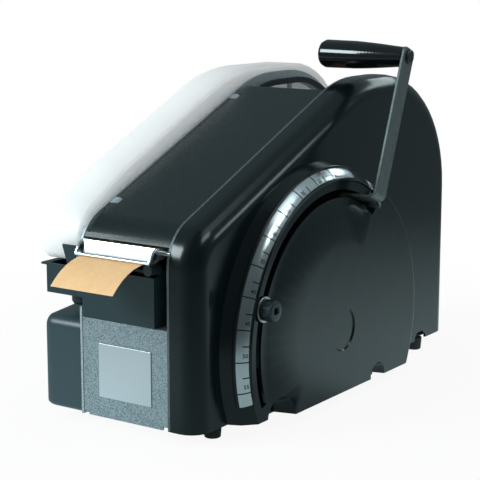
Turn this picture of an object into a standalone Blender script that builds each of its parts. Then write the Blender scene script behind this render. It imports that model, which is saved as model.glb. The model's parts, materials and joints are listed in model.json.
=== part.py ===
# Hand-operated gummed tape dispenser: two steel side plates carry the tape roll, the feed train, the cutter
# and the wetting brushes. Moulded covers close the right side and the top, and a water bottle stands on the left.
# Metres, +Z up, X to the machine's right, Y to its back. Pieces are placed in machine coordinates: X = 0 halfway
# between the side plates, Y = 0 at the plates' front edges, Z = 0 on the floor.

import math

import bmesh
import bpy
from mathutils import Vector

# Frame
GAP = 0.0003  # between touching pieces
RUNNING = 0.0003  # radial clearance of shafts in their holes
INNER_WIDTH = 0.102  # between the side plates
SHEET = 0.0025  # side plate steel
SKIRT_Z = 0.012  # lower edge of plates and covers
SLOPE = math.radians(22.9)
SLOPE_FOOT_Z = 0.1953  # height at which the sloping top would meet the front
TOP_FRONT_Y = 0.2958  # where the sloping top would meet the level top
TOP_REACH = 0.2022  # of the level top, from there to the back
DEPTH = TOP_FRONT_Y + TOP_REACH
TOP_Z = SLOPE_FOOT_Z + math.tan(SLOPE) * TOP_FRONT_Y
NOSE_RADIUS = 0.045
CROWN_RADIUS = 0.160
REAR_RADIUS = 0.136
CENTRE_X = 0.016  # middle of the whole machine, from halfway between the plates
CENTRE_Y = 0.219

# Right cover and its round bulge
COVER_OUTER_X = 0.0845
COVER_EDGE_RADIUS = 0.020
COVER_WALL = 0.0025
DIAL_Y = 0.202
DIAL_Z = 0.078
DIAL_FACE_X = 0.120
SLOT_RADIUS = 0.136
TRACK_DEPTH = 0.0125
TRACK_X = DIAL_FACE_X - TRACK_DEPTH  # sunken band beside the slot
TRACK_INNER = SLOT_RADIUS - 0.014
TRACK_OUTER = SLOT_RADIUS + 0.0145
TRACK_EDGE_X = TRACK_X + 0.0008  # inner edge of the cone that carries the scale
SCALE_CONE_X = TRACK_X - 0.010
SCALE_CONE_RADIUS = TRACK_OUTER + 0.0105
DIAL_FACE_RADIUS = SLOT_RADIUS + 0.015
DIAL_ROOT_RADIUS = SLOT_RADIUS + 0.030
DIAL_FLAT_RADIUS = TRACK_INNER - 0.037  # the face is flat inside it
SLOT_WIDTH = 0.008
SLOT_TOP = 117.5  # degrees above the forward horizontal
SLOT_BOTTOM = -22.0
DIMPLE_RADIUS = 0.0225
DIMPLE_DEPTH = 0.0015
SCALE_THICKNESS = 0.0008
SCALE_TOP = 104.0
SCALE_BOTTOM = -16.8

# Lever
LEVER_REST = 111.3
LEVER_THROW = 81.0
GRIP_RADIUS_FROM_DIAL = 0.2865
LEVER_END = 0.009  # of the flat bar beyond the grip's axis
LEVER_CORNER = 0.005
LEVER_X = 0.1285
LEVER_THICKNESS = 0.003
LEVER_BEND = 0.005  # inside radius where the bar is bent
LEVER_WIDTH = 0.022
LEVER_TAB_X = 0.088
GRIP_LENGTH = 0.0995
GRIP_FAT = 0.0148
GRIP_THIN = 0.0101

# Stop
STOP_REST = 19.0
STOP_WASHER_RADIUS = SLOT_RADIUS - TRACK_INNER - 0.0015
STOP_KNOB_RADIUS = 0.0105
STOP_KNOB_LENGTH = 0.0119
STOP_STUD_RADIUS = 0.0035
STOP_SEAT_X = TRACK_X + 0.0010 + GAP

# Feed train
MODULE = 0.002
SECTOR_TEETH = 104  # on a full circle
IDLER_SMALL_TEETH = 13
IDLER_LARGE_TEETH = 34
FEED_TEETH = 17
TRAIN_ANGLE = 70.0  # of the idler shaft, seen from the dial's centre
FEED_ANGLE = 9.0  # fall of the feed shaft below the idler shaft
SECTOR_X = 0.066
GEAR_WIDTH = 0.006
IDLER_X = 0.057
MAIN_SHAFT_RADIUS = 0.007
SMALL_SHAFT_RADIUS = 0.005
FEED_ROLLER_RADIUS = 0.016
PRESS_ROLLER_RADIUS = 0.010

# Tape
TAPE_WIDTH = 0.073
TAPE_THICKNESS = 0.0004
ROLL_RADIUS = 0.078
CORE_RADIUS = 0.022
CORE_WALL = 0.0025
ROLL_Y = DEPTH - 0.153
SUPPORT_RADIUS = 0.009
SUPPORT_SPREAD = 0.050
SUPPORT_Z = 0.052
EXIT_Y = -0.020
EXIT_Z = 0.1714

# Front
PANEL_TOP_Z = 0.108
PANEL_SHEET = 0.002
TANK_RIGHT_X = 0.036
TANK_LEFT_X = -0.095
TANK_DEPTH = 0.060
TANK_RIM_Z = 0.156
TANK_LEFT_FLOOR_Z = 0.127
TANK_WALL = 0.002
LID_THICKNESS = 0.003
LID_REAR_Y = TOP_FRONT_Y - 0.0238
LID_FRONT_Z = 0.1858
LID_SINK = 0.0005
BEAD_RADIUS = 0.0045
HINGE_ROD_RADIUS = 0.002

# Left side
SHELF_LEFT_X = -0.0995
SHELF_FRONT_TOP_Z = 0.104
SHELF_REST_Z = 0.1595
BOTTLE_LEFT_X = -0.103
BOTTLE_FRONT_Y = 0.003
BOTTLE_TOP_Z = TOP_Z + 0.007
BOTTLE_EDGE = 0.008

# Feet
FOOT_RADIUS = 0.009
FOOT_TOP_Z = 0.014

PLATE_IN = INNER_WIDTH / 2
PLATE_OUT = PLATE_IN + SHEET
COVER_INNER_X = PLATE_OUT + GAP
SPAN = PLATE_IN - GAP


def clear_scene():
    for obj in list(bpy.data.objects):
        bpy.data.objects.remove(obj, do_unlink=True)


def finish(name, colour, roughness, metallic=0.0, alpha=1.0):
    material = bpy.data.materials.new(name)
    material.use_nodes = True
    shader = material.node_tree.nodes["Principled BSDF"]
    shader.inputs["Base Color"].default_value = (*colour, 1.0)
    shader.inputs["Roughness"].default_value = roughness
    shader.inputs["Metallic"].default_value = metallic
    shader.inputs["Alpha"].default_value = alpha
    return material


def steel():
    return finish("plated_steel", (0.62, 0.63, 0.62), 0.32, 1.0)


def hammered_paint():
    return finish("hammered_paint", (0.16, 0.18, 0.18), 0.45)


def black_moulding():
    return finish("black_moulding", (0.010, 0.013, 0.013), 0.28)


def black_rubber():
    return finish("black_rubber", (0.012, 0.012, 0.012), 0.75)


def dark_steel():
    return finish("dark_steel", (0.07, 0.075, 0.075), 0.38, 0.9)


# Plane outlines. A corner is (u, v, radius, segments).


def unit(u, v):
    length = math.hypot(u, v)
    return u / length, v / length


def shifted_corners(corners, inset):
    """Corners of the outline moved inwards by inset; the outline runs clockwise."""
    count = len(corners)
    moved = []
    for i, (u, v, radius, segments) in enumerate(corners):
        before = corners[i - 1]
        after = corners[(i + 1) % count]
        au, av = unit(u - before[0], v - before[1])
        bu, bv = unit(after[0] - u, after[1] - v)
        turn = au * bv - av * bu
        # Inward normals of the two edges, for a clockwise outline.
        na = (av, -au)
        nb = (bv, -bu)
        scale = inset / (1.0 + na[0] * nb[0] + na[1] * nb[1])
        new_radius = radius - inset if turn < 0 else radius + inset
        if radius == 0:
            new_radius = 0
        point = (u + scale * (na[0] + nb[0]), v + scale * (na[1] + nb[1]))
        moved.append((*point, max(new_radius, 0.0), segments))
    return moved


def rounded(corners, inset=0.0):
    """Points of a closed outline with its corners rounded."""
    points = []
    corners = shifted_corners(corners, inset)
    count = len(corners)
    for i, (u, v, radius, segments) in enumerate(corners):
        if segments < 2:
            points.append((u, v))
            continue
        before = corners[i - 1]
        after = corners[(i + 1) % count]
        au, av = unit(before[0] - u, before[1] - v)
        bu, bv = unit(after[0] - u, after[1] - v)
        half = math.acos(max(-1.0, min(1.0, au * bu + av * bv))) / 2
        reach = radius / math.tan(half)
        su, sv = unit(au + bu, av + bv)
        cu = u + su * radius / math.sin(half)
        cv = v + sv * radius / math.sin(half)
        start = math.atan2(v + av * reach - cv, u + au * reach - cu)
        end = math.atan2(v + bv * reach - cv, u + bu * reach - cu)
        sweep = (end - start + math.pi) % (2 * math.pi) - math.pi
        for step in range(segments + 1):
            angle = start + sweep * step / segments
            points.append((cu + radius * math.cos(angle), cv + radius * math.sin(angle)))
    return points


def flank_corners():
    """Side outline shared by the plates and the right cover, clockwise from the front foot."""
    return [
        (0.0, SKIRT_Z, 0, 1),
        (0.0, SLOPE_FOOT_Z, NOSE_RADIUS, 8),
        (TOP_FRONT_Y, TOP_Z, CROWN_RADIUS, 5),
        (DEPTH, TOP_Z, REAR_RADIUS, 14),
        (DEPTH, SKIRT_Z, 0, 1),
    ]


def flank_top(y, inset=0.0):
    """Height of the flank outline above the point y behind the nose."""
    points = [p for p in rounded(flank_corners(), inset) if p[1] > SKIRT_Z + 0.05]
    for (y0, z0), (y1, z1) in zip(points, points[1:]):
        if y0 <= y <= y1 and y1 > y0:
            return z0 + (z1 - z0) * (y - y0) / (y1 - y0)
    return TOP_Z - inset


def polar(radius, degrees, centre=(DIAL_Y, DIAL_Z)):
    """Point beside the dial: 0 degrees is forward, 90 is up."""
    angle = math.radians(degrees)
    return centre[0] - radius * math.cos(angle), centre[1] + radius * math.sin(angle)


# Solids


def loft(bm, rings):
    """Closed rings of equal length, joined in order and capped at both ends."""
    loops = [[bm.verts.new(point) for point in ring] for ring in rings]
    for low, high in zip(loops, loops[1:]):
        for i in range(len(low)):
            j = (i + 1) % len(low)
            bm.faces.new((low[i], low[j], high[j], high[i]))
    bm.faces.new(loops[0][::-1])
    bm.faces.new(loops[-1])


def prism_x(bm, outline, low, high):
    loft(bm, [[(x, y, z) for y, z in outline] for x in (low, high)])


def prism_y(bm, outline, low, high):
    loft(bm, [[(x, y, z) for x, z in outline] for y in (low, high)])


def prism_z(bm, outline, low, high):
    loft(bm, [[(x, y, z) for x, y in outline] for z in (low, high)])


def box(bm, low, high):
    outline = [(low[0], low[1]), (high[0], low[1]), (high[0], high[1]), (low[0], high[1])]
    prism_z(bm, outline, low[2], high[2])


def circle(centre, radius, segments, start=0.0):
    turn = 2 * math.pi / segments
    return [
        (centre[0] + radius * math.cos(start + turn * i), centre[1] + radius * math.sin(start + turn * i))
        for i in range(segments)
    ]


def rod(bm, start, end, radius, segments=20, end_radius=None):
    """Round bar between two points."""
    start, end = Vector(start), Vector(end)
    along = (end - start).normalized()
    side = along.orthogonal().normalized()
    up = along.cross(side)
    rings = []
    for point, r in ((start, radius), (end, radius if end_radius is None else end_radius)):
        turn = 2 * math.pi / segments
        rings.append([point + side * r * math.cos(turn * i) + up * r * math.sin(turn * i) for i in range(segments)])
    loft(bm, rings)


def turned(bm, profile, centre, segments=24):
    """Solid of revolution about the X axis through centre (y, z); profile is (x, radius) from end to end."""
    loft(bm, [[(x, y, z) for y, z in circle(centre, r, segments)] for x, r in profile])


def turned_z(bm, profile, centre, segments=24):
    """Solid of revolution about a vertical axis through centre (x, y); profile is (z, radius)."""
    loft(bm, [[(x, y, z) for x, y in circle(centre, r, segments)] for z, r in profile])


def ring_x(bm, profile, centre, segments=24):
    """Ring about the X axis whose closed section is profile, a list of (x, radius)."""
    sections = []
    turn = 2 * math.pi / segments
    for i in range(segments):
        c, s = math.cos(turn * i), math.sin(turn * i)
        sections.append([bm.verts.new((x, centre[0] + r * c, centre[1] + r * s)) for x, r in profile])
    for i, low in enumerate(sections):
        high = sections[(i + 1) % segments]
        for a in range(len(profile)):
            b = (a + 1) % len(profile)
            bm.faces.new((low[a], low[b], high[b], high[a]))


def rounded_slab(bm, corners, x_inner, x_outer, edge, inset=0.0, steps=5):
    """Outline extruded from x_inner to x_outer, with its outer edge rounded by the radius edge."""
    side = 1 if x_outer > x_inner else -1
    rings = [[(x_inner, y, z) for y, z in rounded(corners, inset)]]
    for step in range(steps + 1):
        angle = math.pi / 2 * step / steps
        x = x_outer - side * edge * (1 - math.sin(angle))
        points = rounded(corners, inset + edge * (1 - math.cos(angle)))
        rings.append([(x, y, SKIRT_Z if z < SKIRT_Z + edge + 0.001 else z) for y, z in points])
    loft(bm, rings)


# Objects


def add(name, bm, material, parent, origin=(0.0, 0.0, 0.0), smooth=35):
    """Object in machine coordinates whose own origin is at origin."""
    bmesh.ops.recalc_face_normals(bm, faces=bm.faces)
    bmesh.ops.translate(bm, verts=bm.verts, vec=-Vector(origin))
    mesh = bpy.data.meshes.new(name)
    bm.to_mesh(mesh)
    bm.free()
    mesh.shade_smooth()
    mesh.set_sharp_from_angle(angle=math.radians(smooth))
    obj = bpy.data.objects.new(name, mesh)
    obj.location = origin
    obj.parent = parent
    bpy.context.scene.collection.objects.link(obj)
    if material:
        mesh.materials.append(material)
    return obj


def combine(obj, name, bm, operation, parent):
    """Helper solid that is cut from obj, or joined to it."""
    helper = add(name, bm, None, parent)
    helper.hide_render = True
    helper.display_type = "WIRE"
    modifier = obj.modifiers.new(name, "BOOLEAN")
    modifier.object = helper
    modifier.operation = operation
    modifier.solver = "EXACT"
    return obj


def cut(obj, name, bm, parent):
    return combine(obj, name, bm, "DIFFERENCE", parent)


def join(obj, name, bm, parent):
    return combine(obj, name, bm, "UNION", parent)


def shaft_centres():
    """(y, z) of the idler and feed shafts, from the gears' pitch circles."""
    first = MODULE * (SECTOR_TEETH + IDLER_SMALL_TEETH) / 2 + GAP / 2
    second = MODULE * (IDLER_LARGE_TEETH + FEED_TEETH) / 2 + GAP / 2
    idler = polar(first, TRAIN_ANGLE)
    return idler, polar(second, -FEED_ANGLE, idler)


def roll_centre():
    reach = ROLL_RADIUS + SUPPORT_RADIUS + GAP
    return ROLL_Y, SUPPORT_Z + math.sqrt(reach**2 - SUPPORT_SPREAD**2)


def nip_z():
    """Lower face of the tape over the feed roller."""
    return shaft_centres()[1][1] + FEED_ROLLER_RADIUS + GAP


def tape_z(y):
    """Lower face of the tape between the feed roller and the exit."""
    feed_y = shaft_centres()[1][0]
    return EXIT_Z + (nip_z() - EXIT_Z) * (y - EXIT_Y) / (feed_y - EXIT_Y)


def press_centre():
    feed = shaft_centres()[1]
    return feed[0], nip_z() + TAPE_THICKNESS + GAP + PRESS_ROLLER_RADIUS


def slope_frame():
    """Point on the lid's hinge axis at Y = 0, and the directions along and out of the sloping top."""
    along = Vector((0, math.cos(SLOPE), math.sin(SLOPE)))
    out = Vector((0, -math.sin(SLOPE), math.cos(SLOPE)))
    start = Vector((0, 0, SLOPE_FOOT_Z))
    return start, along, out


# Side plates and chassis

TANK_CUT = (0.118, 0.168, 0.064)  # low, high and depth of the tank's way through the left plate
WINDOW_FRONT_Y = TOP_FRONT_Y - 0.0038
WINDOW_SPLIT_Y = TOP_FRONT_Y + 0.0717
WINDOW_REAR_Y = DEPTH - 0.043
WINDOW_WEB = 0.006
WINDOW_SILL_Z = 0.236
WINDOW_RIM = 0.0135
LUG_LENGTH = 0.010
LID_LENGTH = LID_REAR_Y / math.cos(SLOPE)  # along the slope, from Y = 0
LUG_PLACES = (0.0525, LID_LENGTH - 0.025)
HINGE_X = -(PLATE_IN - BEAD_RADIUS - 0.0005)
PRESS_ROD = (0.004, 0.180)
PRESS_ROD_RADIUS = 0.0022
YOKE_PIVOT = (0.156, 0.2145)
YOKE_ROD_RADIUS = 0.003
TIE_RADIUS = 0.005
TIES = {"tie_rod_top": (TOP_FRONT_Y - 0.081, TOP_Z - 0.058), "tie_rod_rear": (DEPTH - 0.030, 0.110)}


def hinge_axis_point(distance):
    start, along, out = slope_frame()
    return start + along * distance - out * (BEAD_RADIUS + LID_SINK) + Vector((HINGE_X, 0, 0))


def shaft_holes(bm, x_low, x_high, places):
    for (y, z), radius in places:
        rod(bm, (x_low, y, z), (x_high, y, z), radius, 20)


def plate_holes(left):
    feed = shaft_centres()[1]
    places = [(feed, BUSH_RADIUS + GAP), (PRESS_ROD, PRESS_ROD_RADIUS + RUNNING)]
    places.append((YOKE_PIVOT, YOKE_ROD_RADIUS + RUNNING))
    for side in (-1, 1):
        places.append(((ROLL_Y + side * SUPPORT_SPREAD, SUPPORT_Z), SUPPORT_PIN_RADIUS + RUNNING))
    for place in TIES.values():
        places.append((place, TIE_RADIUS * 0.7 + RUNNING))
    if not left:
        places.append(((DIAL_Y, DIAL_Z), MAIN_SHAFT_RADIUS + RUNNING))
        places.append((shaft_centres()[0], SMALL_SHAFT_RADIUS + RUNNING))
    return places


def left_side_plate(parent):
    bm = bmesh.new()
    prism_x(bm, rounded(flank_corners()), -PLATE_OUT, -PLATE_IN)
    plate = add("left_side_plate", bm, hammered_paint(), parent)

    low, high, depth = TANK_CUT
    bm = bmesh.new()
    corners = [(-0.01, low, 0, 1), (-0.01, high, 0, 1), (depth, high, 0.006, 4), (depth, low, 0.006, 4)]
    prism_x(bm, rounded(corners), -PLATE_OUT - 0.01, -PLATE_IN + 0.01)
    cut(plate, "tank_way", bm, parent)

    bm = bmesh.new()
    inner = rounded(flank_corners(), WINDOW_RIM)
    split_front, split_rear = WINDOW_SPLIT_Y - WINDOW_WEB / 2, WINDOW_SPLIT_Y + WINDOW_WEB / 2
    for y_low, y_high in ((WINDOW_FRONT_Y, split_front), (split_rear, WINDOW_REAR_Y)):
        top = [(y, z) for y, z in inner if y_low < y < y_high and z > WINDOW_SILL_Z]
        ends = [(y_low, flank_top(y_low, WINDOW_RIM)), *top, (y_high, flank_top(y_high, WINDOW_RIM))]
        window = [(y_low, WINDOW_SILL_Z), *ends, (y_high, WINDOW_SILL_Z)]
        prism_x(bm, window, -PLATE_OUT - 0.01, -PLATE_IN + 0.01)
    cut(plate, "plate_windows", bm, parent)

    bm = bmesh.new()
    shaft_holes(bm, -PLATE_OUT - 0.01, -PLATE_IN + 0.01, plate_holes(left=True))
    cut(plate, "left_plate_holes", bm, parent)

    for place in LUG_PLACES:
        _, along, out = slope_frame()
        centre = hinge_axis_point(place)
        half = along * LUG_LENGTH / 2
        bm = bmesh.new()
        section = [(-PLATE_IN - 0.001, -BEAD_RADIUS), (-PLATE_IN - 0.001, BEAD_RADIUS)]
        for i in range(9):
            angle = math.pi / 2 - math.pi * i / 8
            section.append((HINGE_X + BEAD_RADIUS * math.cos(angle), BEAD_RADIUS * math.sin(angle)))
        base = centre - Vector((HINGE_X, 0, 0))
        loft(bm, [[base + shift + Vector((x, 0, 0)) + out * n for x, n in section] for shift in (-half, half)])
        join(plate, "lid_lug", bm, parent)
        bm = bmesh.new()
        rod(bm, centre - along * 0.008, centre + along * 0.008, HINGE_ROD_RADIUS + RUNNING, 12)
        cut(plate, "lug_bore", bm, parent)
    return plate


def right_side_plate(parent):
    bm = bmesh.new()
    prism_x(bm, rounded(flank_corners()), PLATE_IN, PLATE_OUT)
    plate = add("right_side_plate", bm, hammered_paint(), parent)
    bm = bmesh.new()
    shaft_holes(bm, PLATE_IN - 0.01, PLATE_OUT + 0.01, plate_holes(left=False))
    return cut(plate, "right_plate_holes", bm, parent)


PANEL_NOTCH = (0.006, 0.0035)
SHELF_DEPTH = 0.058


def front_panel(parent):
    """Painted sheet with a shelf bent back along its top, on which the tank stands."""
    notch_x, notch_z = PANEL_NOTCH
    face = [
        (-SPAN, SKIRT_Z + notch_z),
        (-SPAN, PANEL_TOP_Z),
        (SPAN, PANEL_TOP_Z),
        (SPAN, SKIRT_Z + notch_z),
        (SPAN - notch_x, SKIRT_Z + notch_z),
        (SPAN - notch_x, SKIRT_Z),
        (-SPAN + notch_x, SKIRT_Z),
        (-SPAN + notch_x, SKIRT_Z + notch_z),
    ]
    bm = bmesh.new()
    prism_y(bm, face, 0.0005, 0.0005 + PANEL_SHEET)
    panel = add("front_panel", bm, hammered_paint(), parent)
    bm = bmesh.new()
    box(bm, (-SPAN, 0.001, PANEL_TOP_Z - PANEL_SHEET), (SPAN, SHELF_DEPTH, PANEL_TOP_Z))
    return join(panel, "tank_shelf", bm, parent)


LABEL_SIZE = (0.063, 0.053)
LABEL_CENTRE = (0.0005, 0.0588)


def label_plate(parent):
    x, z = LABEL_CENTRE
    width, height = LABEL_SIZE
    bm = bmesh.new()
    back = 0.0005 - GAP
    corners = [
        (x - width / 2, z - height / 2, 0.001, 3),
        (x - width / 2, z + height / 2, 0.001, 3),
        (x + width / 2, z + height / 2, 0.001, 3),
        (x + width / 2, z - height / 2, 0.001, 3),
    ]
    prism_y(bm, rounded(corners), back - 0.0006, back)
    return add("label_plate", bm, finish("brushed_label", (0.45, 0.52, 0.55), 0.4, 0.3), parent)


BASE_Z = FOOT_TOP_Z + GAP
BASE_FLANGE = 0.014


def base_plate(parent):
    """Pan between the side plates, with its edges bent up against them."""
    low, high = BASE_Z, BASE_Z + SHEET
    section = [
        (-SPAN, low),
        (-SPAN, low + BASE_FLANGE),
        (-SPAN + SHEET, low + BASE_FLANGE),
        (-SPAN + SHEET, high),
        (SPAN - SHEET, high),
        (SPAN - SHEET, low + BASE_FLANGE),
        (SPAN, low + BASE_FLANGE),
        (SPAN, low),
    ]
    bm = bmesh.new()
    prism_y(bm, section, PANEL_SHEET + 0.0005 + GAP, DEPTH - 0.004)
    return add("base_plate", bm, steel(), parent)


REAR_PANEL_TOP = 0.165


def rear_panel(parent):
    bm = bmesh.new()
    box(bm, (-SPAN, DEPTH - 0.0037, SKIRT_Z), (SPAN, DEPTH - 0.0037 + PANEL_SHEET, REAR_PANEL_TOP))
    return add("rear_panel", bm, hammered_paint(), parent)


def tie_rods(parent):
    for name, (y, z) in TIES.items():
        neck = TIE_RADIUS * 0.7
        end = PLATE_OUT - 0.0002
        bm = bmesh.new()
        profile = [(-end, neck), (-SPAN, neck), (-SPAN, TIE_RADIUS), (SPAN, TIE_RADIUS), (SPAN, neck), (end, neck)]
        turned(bm, profile, (y, z), 16)
        add(name, bm, steel(), parent)


# Right cover

TRACK_TOP = SLOT_TOP + 1.0
TRACK_BOTTOM = SLOT_BOTTOM - 2.5
TRACK_BLEND = 4.5
TRACK_BLEND_STEPS = 5
DRUM_SEGMENTS = 108


def track_share(degrees):
    """1 where the slot's sunken track runs, 0 where the bulge is plain, smooth between."""
    degrees = (degrees + 180) % 360 - 180
    past = max(degrees - TRACK_TOP, TRACK_BOTTOM - degrees, 0.0) / TRACK_BLEND
    return 0.0 if past >= 1 else 0.5 + 0.5 * math.cos(math.pi * past)


def drum_section(degrees):
    """(radius, x) from the bulge's root to its middle."""
    half = SLOT_WIDTH / 2
    track = [
        (DIAL_ROOT_RADIUS + 0.002, COVER_OUTER_X - 0.004),
        (DIAL_ROOT_RADIUS, COVER_OUTER_X + 0.002),
        (SCALE_CONE_RADIUS + 0.001, SCALE_CONE_X - 0.001),
        (SCALE_CONE_RADIUS, SCALE_CONE_X),
        (TRACK_OUTER, TRACK_EDGE_X),
        (TRACK_OUTER - 0.0012, TRACK_X - 0.0004),
        (SLOT_RADIUS + half + 0.001, TRACK_X),
        (SLOT_RADIUS - half - 0.0005, TRACK_X + 0.0005),
        (TRACK_INNER, TRACK_X + 0.0010),
        (DIAL_FLAT_RADIUS, DIAL_FACE_X),
    ]
    plain = [
        (DIAL_ROOT_RADIUS + 0.002, COVER_OUTER_X - 0.004),
        (DIAL_ROOT_RADIUS - 0.001, COVER_OUTER_X + 0.004),
        (DIAL_FACE_RADIUS + 0.0095, COVER_OUTER_X + 0.014),
        (DIAL_FACE_RADIUS + 0.0065, COVER_OUTER_X + 0.022),
        (DIAL_FACE_RADIUS + 0.0035, DIAL_FACE_X - 0.005),
        (DIAL_FACE_RADIUS + 0.0018, DIAL_FACE_X - 0.0015),
        (DIAL_FACE_RADIUS - 0.002, DIAL_FACE_X),
        (DIAL_FACE_RADIUS - 0.008, DIAL_FACE_X),
        (DIAL_FACE_RADIUS - 0.014, DIAL_FACE_X),
        (DIAL_FLAT_RADIUS, DIAL_FACE_X),
    ]
    share = track_share(degrees)
    return [(a[0] * share + b[0] * (1 - share), a[1] * share + b[1] * (1 - share)) for a, b in zip(track, plain)]


def drum_angles():
    """Even steps round the dial, with closer ones where the track fades out."""
    angles = {360.0 * i / DRUM_SEGMENTS for i in range(DRUM_SEGMENTS)}
    for step in range(TRACK_BLEND_STEPS + 1):
        past = TRACK_BLEND * step / TRACK_BLEND_STEPS
        angles |= {TRACK_TOP + past, (TRACK_BOTTOM - past) % 360}
    return sorted(angles)


def drum(bm, wall=0.0, dimple=True):
    """The round bulge: sections turned about the dial's centre. With a wall it is the hollow inside."""
    sections = []
    for degrees in drum_angles():
        sections.append([(max(r - wall, 0.02), x - wall, degrees) for r, x in drum_section(degrees)])
    depth = len(sections[0])
    rings = []
    for row in range(depth):
        rings.append([(x, *polar(r, degrees)) for r, x, degrees in (section[row] for section in sections)])
    if dimple:
        for radius, x in ((DIMPLE_RADIUS, DIAL_FACE_X), (DIMPLE_RADIUS - 0.0015, DIAL_FACE_X - DIMPLE_DEPTH)):
            rings.append([(x, *polar(radius, section[0][2])) for section in sections])
    loft(bm, rings)


def sector_solid(bm, inner, outer, low, high, x_low, x_high, steps=28):
    """Block between two radii, two angles in degrees and two X planes."""
    rings = []
    for i in range(steps + 1):
        angle = low + (high - low) * i / steps
        a, b = polar(inner, angle), polar(outer, angle)
        rings.append([(x_low, *a), (x_high, *a), (x_high, *b), (x_low, *b)])
    loft(bm, rings)


NOTCH_ROUND = 8
FOOT_NOTCHES = ((0.0985, 0.030, 0.0205), (0.2735, 0.028, 0.0150))  # middle Y, width and height above the skirt
REAR_FOOT_Y = DEPTH - 0.062
REAR_NOTCH = (REAR_FOOT_Y, 0.026, 0.0090)
SCOOP_X = 0.098  # inner end of a notch in the bulge
SCOOP_WALL = 0.003
SCOOP_NARROW, SCOOP_WIDE = 0.62, 1.05  # share of its width at the inner end and at the face


def arch(place, grow=0.0, narrow=1.0):
    """Arched outline on a cover's lower edge."""
    middle, width, height = place
    half = width / 2 * narrow + grow
    top = height * narrow + grow
    radius = min(half, top) * 0.95
    low = SKIRT_Z - 0.01
    corners = [
        (middle - half, low, 0, 1),
        (middle - half, SKIRT_Z + top, radius, NOTCH_ROUND),
        (middle + half, SKIRT_Z + top, radius, NOTCH_ROUND),
        (middle + half, low, 0, 1),
    ]
    return rounded(corners)


def notch(bm, place, x_low, x_high, narrow=1.0, wide=1.0):
    """Arched opening for a foot; narrow and wide scale it at x_low and x_high."""
    loft(bm, [[(x, y, z) for y, z in arch(place, 0.0, scale)] for x, scale in ((x_low, narrow), (x_high, wide))])


def right_cover(parent):
    bm = bmesh.new()
    rounded_slab(bm, flank_corners(), COVER_INNER_X, COVER_OUTER_X, COVER_EDGE_RADIUS)
    cover = add("right_cover", bm, black_moulding(), parent)

    bm = bmesh.new()
    drum(bm)
    join(cover, "cover_bulge", bm, parent)

    bm = bmesh.new()
    inner_x = COVER_OUTER_X - COVER_WALL
    hollow_edge = COVER_EDGE_RADIUS - COVER_WALL
    corners = [(u, v if v > SKIRT_Z + 0.001 else v - 0.02, r, n) for u, v, r, n in flank_corners()]
    rings = [[(COVER_INNER_X - 0.01, y, z) for y, z in rounded(corners, COVER_WALL)]]
    for step in range(5):
        angle = math.pi / 2 * step / 4
        x = inner_x - hollow_edge * (1 - math.sin(angle))
        points = rounded(corners, COVER_WALL + hollow_edge * (1 - math.cos(angle)))
        rings.append([(x, y, z if z > SKIRT_Z + 0.02 else SKIRT_Z - 0.01) for y, z in points])
    loft(bm, rings)
    cut(cover, "cover_hollow", bm, parent)

    bm = bmesh.new()
    drum(bm, COVER_WALL, dimple=False)
    cut(cover, "bulge_hollow", bm, parent)
    # The hollow stops short of each notch, so that the scoop has walls of its own.
    bm = bmesh.new()
    for place in FOOT_NOTCHES:
        prism_x(bm, arch(place, SCOOP_WALL, SCOOP_WIDE), SCOOP_X - SCOOP_WALL, DIAL_FACE_X + 0.01)
    cut(bpy.data.objects["bulge_hollow"], "scoop_bosses", bm, parent)

    bm = bmesh.new()
    half = SLOT_WIDTH / 2
    sector_solid(bm, SLOT_RADIUS - half, SLOT_RADIUS + half, SLOT_BOTTOM, SLOT_TOP, TRACK_X - 0.02, TRACK_X + 0.02)
    cut(cover, "lever_slot", bm, parent)

    bm = bmesh.new()
    box(bm, (COVER_INNER_X - 0.02, -0.02, -0.12), (DIAL_FACE_X + 0.02, DEPTH + 0.02, SKIRT_Z))
    cut(cover, "level_skirt", bm, parent)

    bm = bmesh.new()
    for place in FOOT_NOTCHES:
        notch(bm, place, SCOOP_X, DIAL_FACE_X + 0.002, SCOOP_NARROW, SCOOP_WIDE)
    notch(bm, REAR_NOTCH, COVER_OUTER_X - 0.010, COVER_OUTER_X + 0.010)
    return cut(cover, "foot_notches", bm, parent)


def length_scale(parent):
    """Thin strip bent round the cone outside the slot."""
    r_out, x_out = SCALE_CONE_RADIUS, SCALE_CONE_X
    r_in, x_in = TRACK_OUTER, TRACK_EDGE_X
    ur, ux = unit(r_in - r_out, x_in - x_out)
    nr, nx = -ux, ur
    if nx < 0:
        nr, nx = -nr, -nx
    edge = 0.0012
    length = math.hypot(r_in - r_out, x_in - x_out)
    section = []
    for along, out in ((edge, GAP), (length - edge, GAP), (length - edge, GAP + SCALE_THICKNESS), (edge, GAP + SCALE_THICKNESS)):
        section.append((r_out + ur * along + nr * out, x_out + ux * along + nx * out))
    steps = 40
    rings = []
    for i in range(steps + 1):
        angle = SCALE_BOTTOM + (SCALE_TOP - SCALE_BOTTOM) * i / steps
        rings.append([(x, *polar(r, angle)) for r, x in section])
    bm = bmesh.new()
    loft(bm, rings)
    return add("length_scale", bm, finish("scale_strip", (0.75, 0.78, 0.80), 0.3), parent)


BRACKET_FLANGE = 0.024
TONGUE_X = SCOOP_X - SCOOP_WALL - 0.001
TONGUE_Y = (0.104, 0.326)


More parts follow.
